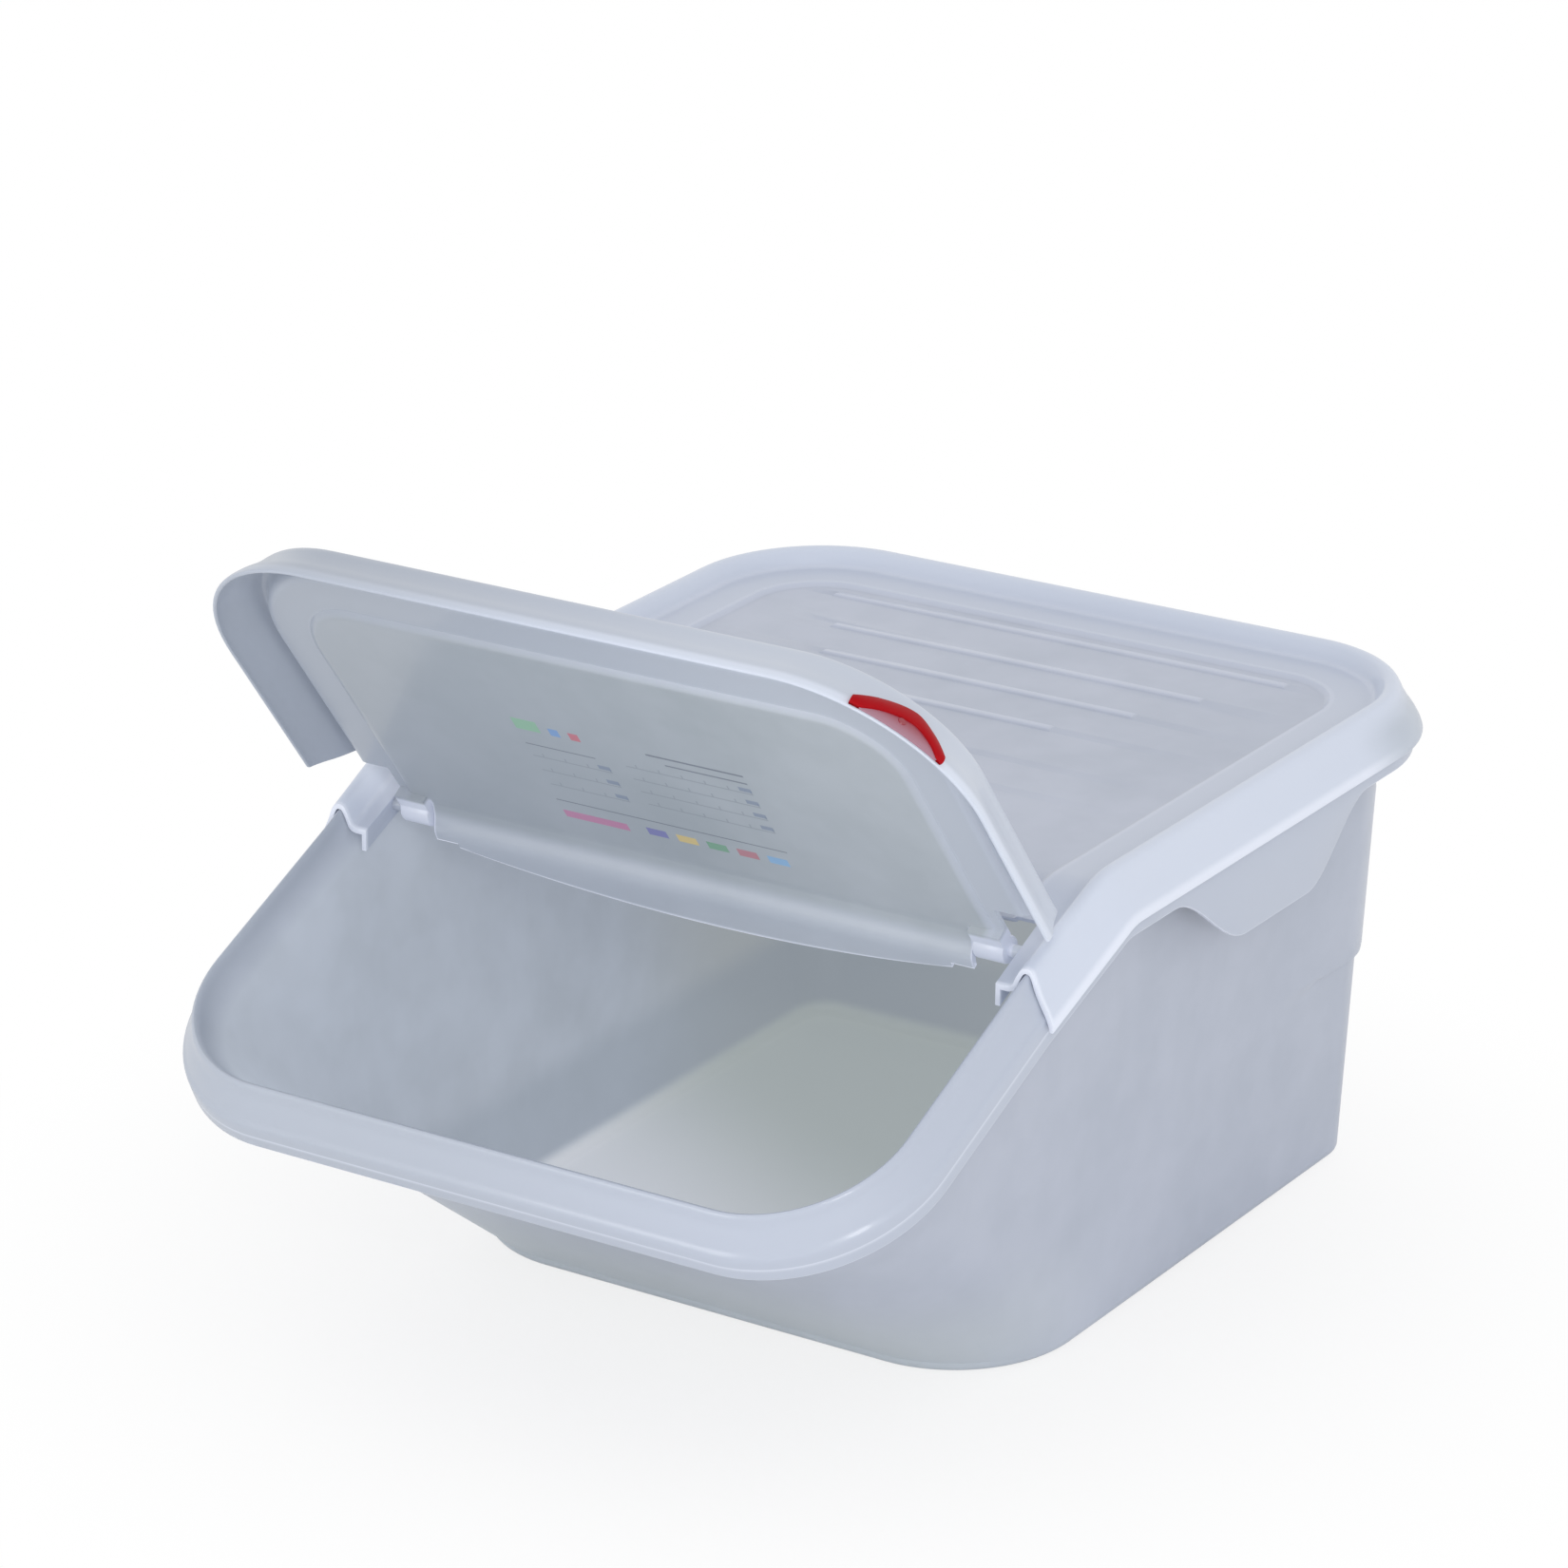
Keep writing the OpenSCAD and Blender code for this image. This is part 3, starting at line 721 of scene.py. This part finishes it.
def inwards(x, u):
    """Distance from the flange edge."""
    x = abs(x) / (1 - drawn_in(u))
    for cu, r, way in ((u_front - front_corner_r, front_corner_r, 1),
                       (back_corner_r, back_corner_r, -1)):
        if x > half_w - r and (u - cu) * way > 0:
            return r - hypot(x - half_w + r, u - cu)
    return min(half_w - x, u, u_front - u)


def on_lip(x, s, h):
    """1 on the end of the flap's tail."""
    return float(abs(x) < web_half_w + 0.5 and h < tail_h + 3 and s < tail_end(x) + 0.4)


def mark(piece, name, values):
    """Keeps a number or a place for each vertex."""
    kind, key = ("FLOAT", "value") if isinstance(values[0], float) else ("FLOAT_VECTOR", "vector")
    flat = values if kind == "FLOAT" else [part for value in values for part in value]
    piece.data.attributes.new(name, kind, "POINT").data.foreach_set(key, flat)


def mark_cover(piece, shut=Matrix()):
    places = [unfolded((shut @ vertex.co) / MM) for vertex in piece.data.vertices]
    spots = [(x, u - u_bend1 + tangent, h) for x, u, h in places]
    mark(piece, "off", [float(inwards(x, u)) for x, u, h in places])
    mark(piece, "lip", [on_lip(*spot) if piece == flip_flap else 0.0 for spot in spots])
    mark(piece, "spot", spots)


mark_cover(rear_lid)
for piece in (flip_flap, label, clip_rim, clip_web, peg):
    mark_cover(piece, swing.inverted())
print("marked", sum(len(p.data.vertices) for p in (rear_lid, flip_flap)), "cover vertices")

# %% [markdown]
# The bin's rings keep whether they lie inside, on the rim, or on the skirt's lower edge, which gets
# a painted highlight as a bright line. A ring above the lip gets a fainter painted highlight too,
# except in the grips.

# %% Marks on the bin
rim_rings = len(rim_under) + len(skirt_lip) + len(rim_over)
outer_rings = len(foot_round) + 2 + len(step_fs) + 2
inner_rings = len(rings) - outer_rings - rim_rings
first_lip = outer_rings + len(rim_under)
lip_rings = range(first_lip + 1, first_lip + 4)
ring_of = [i // len(rings[0]) for i in range(len(bin_piece.data.vertices))]
mark(bin_piece, "inside", [float(ring >= outer_rings + rim_rings) for ring in ring_of])
mark(bin_piece, "rim", [float(outer_rings <= ring < outer_rings + rim_rings) for ring in ring_of])
in_grip = [grip_share(st) > 0 for st in stations]
in_grip += reversed(in_grip)
mark(bin_piece, "edge", [
    1.0 if ring in lip_rings else 0.8 * (ring == first_lip + 5 and not in_grip[i % len(in_grip)])
    for i, ring in enumerate(ring_of)])
mark(bin_piece, "spot", [tuple(vertex.co / MM) for vertex in bin_piece.data.vertices])
print(outer_rings, "rings outside,", rim_rings, "on the rim,", inner_rings, "inside")

# %% [markdown]
# ## Materials
# A finish is a formula over the marks. It could be built node by node, but then the formula can't
# be read. So ordinary operators work on a small class that wraps a socket, and every other node
# comes from one method.

# %% Shader maths
def linear(red, green, blue):
    """Linear colour from display values of 0 to 255."""
    channels = [c / 255 for c in (red, green, blue)]
    return tuple(c / 12.92 if c < 0.04045 else ((c + 0.055) / 1.055) ** 2.4 for c in channels) + (1,)


class Value:
    """A number or a colour that comes out of a node."""

    def __init__(self, graph, socket):
        self.graph, self.socket = graph, socket

    def __add__(self, other):
        return self.graph.math("ADD", self, other)

    def __radd__(self, other):
        return self.graph.math("ADD", other, self)

    def __sub__(self, other):
        return self.graph.math("SUBTRACT", self, other)

    def __rsub__(self, other):
        return self.graph.math("SUBTRACT", other, self)

    def __mul__(self, other):
        return self.graph.math("MULTIPLY", self, other)

    def __rmul__(self, other):
        return self.graph.math("MULTIPLY", other, self)

    def __abs__(self):
        return self.graph.math("ABSOLUTE", self)

    def below(self, other):
        return self.graph.math("LESS_THAN", self, other)

    def modulo(self, other):
        return self.graph.math("FLOORED_MODULO", self, other)

    def least(self, other):
        return self.graph.math("MINIMUM", self, other)

    def rise(self, low, high):
        """0 below low, 1 above high, smooth between them."""
        return self.graph.node("ShaderNodeMapRange", 0, {"interpolation_type": "SMOOTHSTEP"},
                               {0: self, 1: low, 2: high})

    def bump(self, low, high, soft):
        """1 from low to high, with soft ends."""
        return self.rise(low - soft, low) * (1 - self.rise(high, high + soft))


class Graph:
    """The nodes of one material or of the world."""

    def __init__(self, tree):
        self.tree = tree

    def feed(self, slot, part):
        if isinstance(part, Value):
            self.tree.links.new(part.socket, slot)
        else:
            slot.default_value = part

    def node(self, kind, output=0, settings=None, inputs=None):
        node = self.tree.nodes.new(kind)
        for key, value in (settings or {}).items():
            setattr(node, key, value)
        for key, part in (inputs or {}).items():
            self.feed(node.inputs[key], part)
        return Value(self, node.outputs[output])

    def math(self, operation, *parts):
        return self.node("ShaderNodeMath", 0, {"operation": operation}, dict(enumerate(parts)))

    def split(self, vector):
        """The three parts of a vector."""
        first = self.node("ShaderNodeSeparateXYZ", inputs={0: vector})
        return [Value(self, socket) for socket in first.socket.node.outputs]


class Shade(Graph):
    """A finish: its material, and the surface that the formulas feed."""

    def __init__(self, name, **constants):
        self.material = bpy.data.materials.new(name)
        self.material.use_nodes = True
        super().__init__(self.material.node_tree)
        self.surface = self.tree.nodes["Principled BSDF"]
        for key, value in constants.items():
            self.set(key.replace("_", " "), value)

    def set(self, name, part):
        self.feed(self.surface.inputs[name], part)

    def mark(self, name):
        """A number marked on the vertices."""
        return self.node("ShaderNodeAttribute", 2, {"attribute_name": name})

    def spot(self):
        """Where a vertex lies: on covers across, forward from the bend, and height."""
        return self.split(self.node("ShaderNodeAttribute", 1, {"attribute_name": "spot"}))

    def blend(self, low, high, share):
        """Colour from low to high as share goes from 0 to 1."""
        return self.node("ShaderNodeMix", 2, {"data_type": "RGBA"},
                         {"Factor": share, 6: low, 7: high})


print("finishes are written as formulas on", Value.__name__)

# %% [markdown]
# All pieces are milky polypropylene with a soft gloss. Real walls let light through, so edges look
# paler than flat walls and the inside never gets dark. A clear shader could carry that light, but
# it gets noisy and dark in thin walls. So the plastic is opaque here, with tones that drift a
# little in soft clouds, and that light is painted: paler edges are painted highlights, and a faint
# glow stands in for the light that comes through.

# %% Milky plastic
def milky(name, **constants):
    shade = Shade(name, **{"Roughness": 0.3, "IOR": 1.49, "Coat_Weight": 0.25,
                           "Coat_Roughness": 0.07, **constants})
    point = shade.node("ShaderNodeTexCoord", 3)
    shade.cloud = shade.node("ShaderNodeTexNoise", 0, inputs={
        "Vector": point, "Scale": 14.0, "Detail": 4.0, "Roughness": 0.6}).rise(0.3, 0.7)
    shade.flow = shade.node("ShaderNodeTexNoise", 0, inputs={
        "Vector": point, "Scale": 60.0, "Detail": 2.0}).rise(0.35, 0.65)
    return shade


def toned(shade, dark, light):
    return shade.blend(linear(*dark), linear(*light), shade.cloud * 0.75 + shade.flow * 0.25)


# The painted highlight along the covers' flange edges and the ends of the rear cover's arms.
edge_highlight = (224, 229, 242)
print("palest edge of the plastic:", edge_highlight)

# %% [markdown]
# The covers share one formula. It reads how far a place lies from the flange edge: the bead is
# palest, the flat border is between, and the panel is greyest; these tones are partly the wall's
# thickness and partly painted light. The flange edge gets a painted highlight, and ribs and steps
# get painted highlights where they would catch the light. The tones could come from the lamps
# alone, but the wall's thickness makes part of them on the real bin.

# %% Finish of the covers
def cover_finish(name, panel, strip, bead, edge, crest_highlight, highlight_strength, glow):
    shade = milky(name, Emission_Strength=glow)
    shade.x, shade.s, shade.h = shade.spot()
    off = shade.off = shade.mark("off")
    tone = toned(shade, *panel)
    on_panel = off.rise(strip_off, strip_off + 1)
    # Painted highlights: rib tops, the panel's step and the bead's foot get the crest colour.
    ribs = (shade.h.rise(panel_h + 0.1, panel_h + rib_h) * on_panel).least(1.0)
    tone = shade.blend(tone, linear(*crest_highlight), ribs * highlight_strength)
    tone = shade.blend(linear(*strip), tone, off.rise(strip_off - 2.5, strip_off + 0.5))
    tone = shade.blend(tone, linear(*crest_highlight), off.bump(31.2, 33.4, 1.2) * (highlight_strength * 0.6))
    tone = shade.blend(linear(*bead), tone, off.rise(14, 20))
    tone = shade.blend(tone, linear(*crest_highlight), off.bump(16.6, 17.6, 0.8) * (highlight_strength * 0.6))
    # Painted highlight along the flange edge.
    tone = shade.blend(linear(*edge), tone, off.rise(0.4, 1.6))
    return shade, tone


cover_plastic, cover_tone = cover_finish(
    "cover_plastic", panel=((172, 179, 195), (184, 190, 206)), strip=(190, 197, 213),
    bead=(206, 213, 228), edge=edge_highlight, crest_highlight=(208, 213, 228), highlight_strength=0.5, glow=0.03)
# Painted highlight along the cut ends of the rear cover's arms.
end_gap = arm_s - cover_plastic.s - cover_plastic.h * end_lean
arm_end_highlight = (1 - end_gap.rise(0.4, 1.8)) * abs(cover_plastic.x).rise(arm_x - 2, arm_x - 1)
cover_tone = cover_plastic.blend(cover_tone, linear(*edge_highlight), arm_end_highlight)
# Painted shade on the flange towards the back of the rear cover.
back_flare_shade = (1 - cover_plastic.off.rise(4, 9)) * (1 - cover_plastic.s.rise(-185, -150))
cover_tone = cover_plastic.blend(cover_tone, linear(182, 190, 202), back_flare_shade * 0.9)
cover_plastic.set("Base Color", cover_tone)
cover_plastic.set("Emission Color", cover_tone)
print("rear cover's finish:", len(cover_plastic.tree.nodes), "nodes")

# %% [markdown]
# The label's print is a plain chart of ruled rows, ticks and colour swatches. It could be an
# image, but rectangles in the label's own millimetres stay sharp and need no file. It is drawn
# once, for the film and for the flap that it shows through.

# %% Print of the label
def patch(shade, x0, x1, s0, s1):
    """1 on a rectangle of the label."""
    along = abs(shade.x - (x0 + x1) / 2).below((x1 - x0) / 2)
    return along * abs(shade.s - (s0 + s1) / 2).below((s1 - s0) / 2)


long_rules = [(8, 46, 98.0, 99.0), (14, 46, 94.0, 94.8), (-44, -16, 88.5, 89.1),
              (-46, 46, 56.5, 57.1)]
# Left, right, near and far edge of each block of rows, and the rows' pitch.
row_blocks = [(-4, 46, 64, 92, 7.0), (-44, -12, 62, 86, 8.0)]
swatches = [
    ((-44, -34, 97, 103), (122, 176, 138)), ((-30, -26, 97, 101), (90, 140, 200)),
    ((-22, -18, 97, 101), (190, 70, 90)), ((36, 44, 48, 52), (110, 168, 216)),
    ((24, 32, 48, 52), (176, 84, 100)), ((12, 20, 48, 52), (84, 150, 106)),
    ((0, 8, 48, 52), (214, 186, 96)), ((-12, -4, 48, 52), (96, 92, 168)),
    ((-46, -20, 47, 51), (184, 96, 146))]
tick_pitch, row_half, head_len = 9.0, 0.28, 5


def printed(shade, ground, strength):
    tone = ground
    for place in long_rules:
        tone = shade.blend(tone, linear(92, 98, 112), patch(shade, *place) * strength)
    for x0, x1, s0, s1, pitch in row_blocks:
        from_row = (shade.s - s0).modulo(pitch) - pitch / 2
        row = abs(from_row).below(row_half)
        tick = (abs((shade.x - x0).modulo(tick_pitch) - tick_pitch / 2).below(0.3)
                * abs(from_row - 1.0).below(1.0))
        ruled = patch(shade, x0, x1, s0, s1) * (row + tick).least(1.0)
        tone = shade.blend(tone, linear(116, 122, 136), ruled * strength * 0.7)
        head = patch(shade, x1 - head_len, x1, s0, s1) * abs(from_row - 2.0).below(1.1)
        tone = shade.blend(tone, linear(96, 112, 142), head * strength * 0.8)
    for place, colour in swatches:
        tone = shade.blend(tone, linear(*colour), patch(shade, *place) * strength)
    return tone


print(len(long_rules) + len(row_blocks) + len(swatches), "things are printed on the label")

# %% [markdown]
# The flap stands in its own shade, so its tones are a shaded copy of the rear cover's, painted
# greyer, with painted shade darkest at its left, away from the light, and a little painted light
# towards its right. Its tail and knuckles are paler because they are thick, and the end of the tail
# gets a painted highlight along its edge. The label's print shows through it at part strength.

# %% Finish of the flap
# A shaded copy of the covers' finish: painted shade makes every tone greyer than the rear cover's.
shaded_flap_plastic, flap_tone = cover_finish(
    "shaded_flap_plastic", panel=((154, 162, 168), (166, 173, 180)), strip=(172, 179, 191),
    bead=(178, 185, 199), edge=(202, 209, 224), crest_highlight=(192, 199, 214), highlight_strength=0.35, glow=0.157)
# Painted shade, darkest at the flap's left.
left_shade_share = 1 - shaded_flap_plastic.x.rise(-130, 90)
flap_tone = shaded_flap_plastic.blend(flap_tone, linear(140, 147, 158), left_shade_share * 0.6)
# Painted light towards the flap's right.
right_light_share = shaded_flap_plastic.x.rise(0, 110)
flap_tone = shaded_flap_plastic.blend(flap_tone, linear(200, 204, 210), right_light_share * 0.2)
on_tail = 1 - shaded_flap_plastic.s.rise(hinge_s, panel_s)
flap_tone = shaded_flap_plastic.blend(flap_tone, linear(192, 198, 212), on_tail * 0.4)
flap_tone = printed(shaded_flap_plastic, flap_tone, 0.7)
knuckle = (abs(shaded_flap_plastic.x).bump(web_half_w, neck_half_w + 1, 1.0)
           * shaded_flap_plastic.s.bump(hinge_s - 6, hinge_s + 7, 2.0))
flap_tone = shaded_flap_plastic.blend(flap_tone, linear(208, 213, 228), knuckle * 0.8)
# Painted highlight on the end of the tail.
flap_tone = shaded_flap_plastic.blend(flap_tone, linear(228, 232, 243), shaded_flap_plastic.mark("lip"))
shaded_flap_plastic.set("Base Color", flap_tone)
shaded_flap_plastic.set("Emission Color", flap_tone)
print("flap's finish:", len(shaded_flap_plastic.tree.nodes), "nodes")

# %% [markdown]
# The bin's wall is grey-blue outside, with painted shade low at the front near the floor, and its
# rim is painted a little lighter towards the right, where the light comes from. Inside, light and
# shade are painted: the walls are darker than outside, the walls are shaded low down towards the
# left, and the floor is palest near the mouth and the back wall is darkest, both leaning to green
# as thick milky plastic does in shade. Deep shade could be left to the lamps, but light comes
# through the real walls, so the inside glows a little, and a faint glow lifts the outside low at
# the front.

# %% Finish of the bin
bin_plastic = milky("bin_plastic", Emission_Strength=0.52)
bin_plastic.x, bin_plastic.s, bin_plastic.h = bin_plastic.spot()
inside, rim, edge = (bin_plastic.mark(name) for name in ("inside", "rim", "edge"))
low = 1 - bin_plastic.h.rise(0, 60)
wall_tone = toned(bin_plastic, (174, 181, 196), (184, 190, 205))
# Painted shade low on the front of the wall, near the floor.
front_low_shade = low * (1 - bin_plastic.s.rise(-110, 0))
wall_tone = bin_plastic.blend(wall_tone, linear(168, 176, 178), front_low_shade * 0.8)
# Painted light: the rim is lighter towards the right.
rim_tone = bin_plastic.blend(linear(180, 187, 200), linear(187, 194, 209),
                             bin_plastic.x.rise(-60, 110))
outer_tone = bin_plastic.blend(wall_tone, rim_tone, rim.rise(0.3, 0.9))
# Painted highlight along the skirt's lower edge.
outer_tone = bin_plastic.blend(outer_tone, linear(222, 227, 240), edge.rise(0.5, 1.0))

# Painted shade: the inside walls are darker than outside, and greener towards the back wall.
side_in = toned(bin_plastic, (156, 162, 171), (166, 172, 182))
back_in = bin_plastic.blend(side_in, linear(162, 166, 168), bin_plastic.s.rise(40, 130))
# Painted light on the floor, palest near the mouth and darker towards the back.
floor_light_tone = bin_plastic.blend(linear(202, 204, 208), linear(172, 178, 176),
                               (bin_plastic.s + bin_plastic.x * 0.5).rise(-60, 60))
on_floor = 1 - bin_plastic.h.rise(2.5, 9)
# Painted shade low on the inner walls, towards the left.
foot_shade = bin_plastic.h.bump(8, 30, 14) * (1 - bin_plastic.x.rise(-90, 60))
inner_tone = bin_plastic.blend(back_in, linear(140, 148, 158), foot_shade * 0.55)
inner_tone = bin_plastic.blend(inner_tone, floor_light_tone, on_floor)
bin_plastic.set("Base Color", bin_plastic.blend(outer_tone, inner_tone, inside))

# A painted glow low on the outside at the front stands in for light that comes through the wall.
lit_foot = low * (1 - bin_plastic.s.rise(-90, 40)) * 0.3
outer_glow = bin_plastic.blend((0, 0, 0, 1), linear(192, 198, 200), lit_foot)
bin_plastic.set("Emission Color", bin_plastic.blend(outer_glow, inner_tone, inside))
print("bin's finish:", len(bin_plastic.tree.nodes), "nodes")

# %% [markdown]
# The clip is red where it is thick, and satin. Its web is so thin that the cover shows through it,
# and the red fades out towards the flange edge. The web could be clear, but a tone that goes from
# red to the cover's pale pink gives the same look without noise.

# %% Clip finishes
clip_red = milky("clip_red", Coat_Weight=0.0, Specular_IOR_Level=0.12, Roughness=0.42)
clip_red.set("Base Color", clip_red.blend(linear(164, 4, 16), linear(176, 8, 22), clip_red.cloud))
web_pink = milky("clip_web", Coat_Weight=0.08)
web_height = web_pink.spot()[2]
web_pink.set("Base Color", web_pink.blend(linear(170, 124, 140), linear(152, 54, 70),
                                          web_height.rise(0.5, 6.5)))
peg_red = milky("clip_peg")
peg_red.set("Base Color", linear(150, 40, 56))
print("clip finishes:", [shade.material.name for shade in (clip_red, web_pink, peg_red)])

# %% [markdown]
# The label is a clear film, a little paler than the flap, with the print at nearly full strength.
# Seen from outside it is the only place where the chart is sharp.

# %% Label finish
film = milky("label_film")
film.x, film.s, film.h = film.spot()
film.set("Base Color", printed(film, linear(198, 204, 216), 0.9))
print("label's finish:", len(film.tree.nodes), "nodes")

# %% [markdown]
# ## Riding and standing in
# Each piece rides on the body that moves it, and stands for the node that it was built from. The
# clip's three pieces ride together, and the label rides with the flap.

# %% Bodies
def dress(piece, shade):
    piece.data.materials.clear()
    piece.data.materials.append(shade.material)


table = [
    (bin_piece, "bin", "bin", "bin_plastic", bin_plastic),
    (rear_lid, "rear_lid", "rear_lid", "cover_plastic", cover_plastic),
    (flip_flap, "flap", "flip_flap", "cover_plastic", shaded_flap_plastic),
    (clip_rim, "clip", "colour_clip", "clip_plastic", clip_red),
    (clip_web, "clip", "colour_clip", "clip_plastic", web_pink),
    (peg, "clip", "colour_clip", "clip_plastic", peg_red),
    (label, "flap", "label_film", "label_print", film),
]
for piece, body, node, slot, shade in table:
    dress(piece, shade)
    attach(piece, body)
    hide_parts(node)

# %% [markdown]
# ## Floor
# The photograph's ground is plain white. A bright lamp could whiten the floor, but it would also
# whiten the bin. So part of the floor's own light goes to the camera alone: near the bin enough is
# left of the real surface to keep a soft shadow, and further out the floor is plain white.

# %% Floor
floor_half, floor_drop = 3000, 0.2
floor_corners = [(-floor_half, -floor_half), (floor_half, -floor_half), (floor_half, floor_half),
                 (-floor_half, floor_half)]
floor = mesh_piece("floor", [(x, y, -floor_drop) for x, y in floor_corners], [(0, 1, 2, 3)])
floor_shade = Shade("floor", Roughness=0.9, Base_Color=linear(250, 250, 250))
from_camera = floor_shade.node("ShaderNodeLightPath", "Is Camera Ray")
floor_place = floor_shade.node("ShaderNodeTexCoord", 3)
far = floor_shade.node("ShaderNodeVectorMath", 1, {"operation": "LENGTH"}, {0: floor_place})
whiteness = 0.76 + 0.24 * far.rise(0.12, 0.34)
lit_floor = Value(floor_shade, floor_shade.surface.outputs[0])
plain_floor = floor_shade.node("ShaderNodeEmission")
both = floor_shade.node("ShaderNodeMixShader", inputs={
    0: from_camera * whiteness, 1: lit_floor, 2: plain_floor})
floor_shade.feed(floor_shade.tree.nodes["Material Output"].inputs[0], both)
dress(floor, floor_shade)
print("floor of", 2 * floor_half * MM, "m")

# %% [markdown]
# ## Light
# The photograph has even studio light with a few small glints. One large lamp could do it, but it
# would leave hard shade in the bin. So a nearly white room gives most of the light, a soft key and
# a front lamp shape the bead, and a small lamp makes the glints. The room is a little dimmer
# towards the top, so that level faces don't outshine the walls.

# %% Lamps and room
def area_light(name, at, size, power):
    data = bpy.data.lights.new(name, "AREA")
    data.shape, data.size, data.energy = "DISK", size * MM, power
    lamp = bpy.data.objects.new(name, data)
    place_at = Vector(at) * MM
    lamp.matrix_world = (Matrix.Translation(place_at)
                         @ (place_at - aim * MM).to_track_quat("Z", "Y").to_matrix().to_4x4())
    bpy.context.scene.collection.objects.link(lamp)


area_light("key", (1500, -1300, 900), 500, 5.5)
area_light("front", (-700, -1900, 350), 700, 4)
area_light("glint", (1050, -1550, 1150), 110, 1.6)

world = bpy.data.worlds.new("studio")
world.use_nodes = True
bpy.context.scene.world = world
room = Graph(world.node_tree)
upwards = room.split(room.node("ShaderNodeTexCoord", 0))[2].rise(0.0, 1.0)
room_light = world.node_tree.nodes["Background"]
room.feed(room_light.inputs["Color"], (0.986, 0.993, 1, 1))
room.feed(room_light.inputs["Strength"], 0.95 - upwards * 0.15)
bpy.context.scene.view_settings.view_transform = "Standard"
print(len(bpy.data.lights), "lamps")
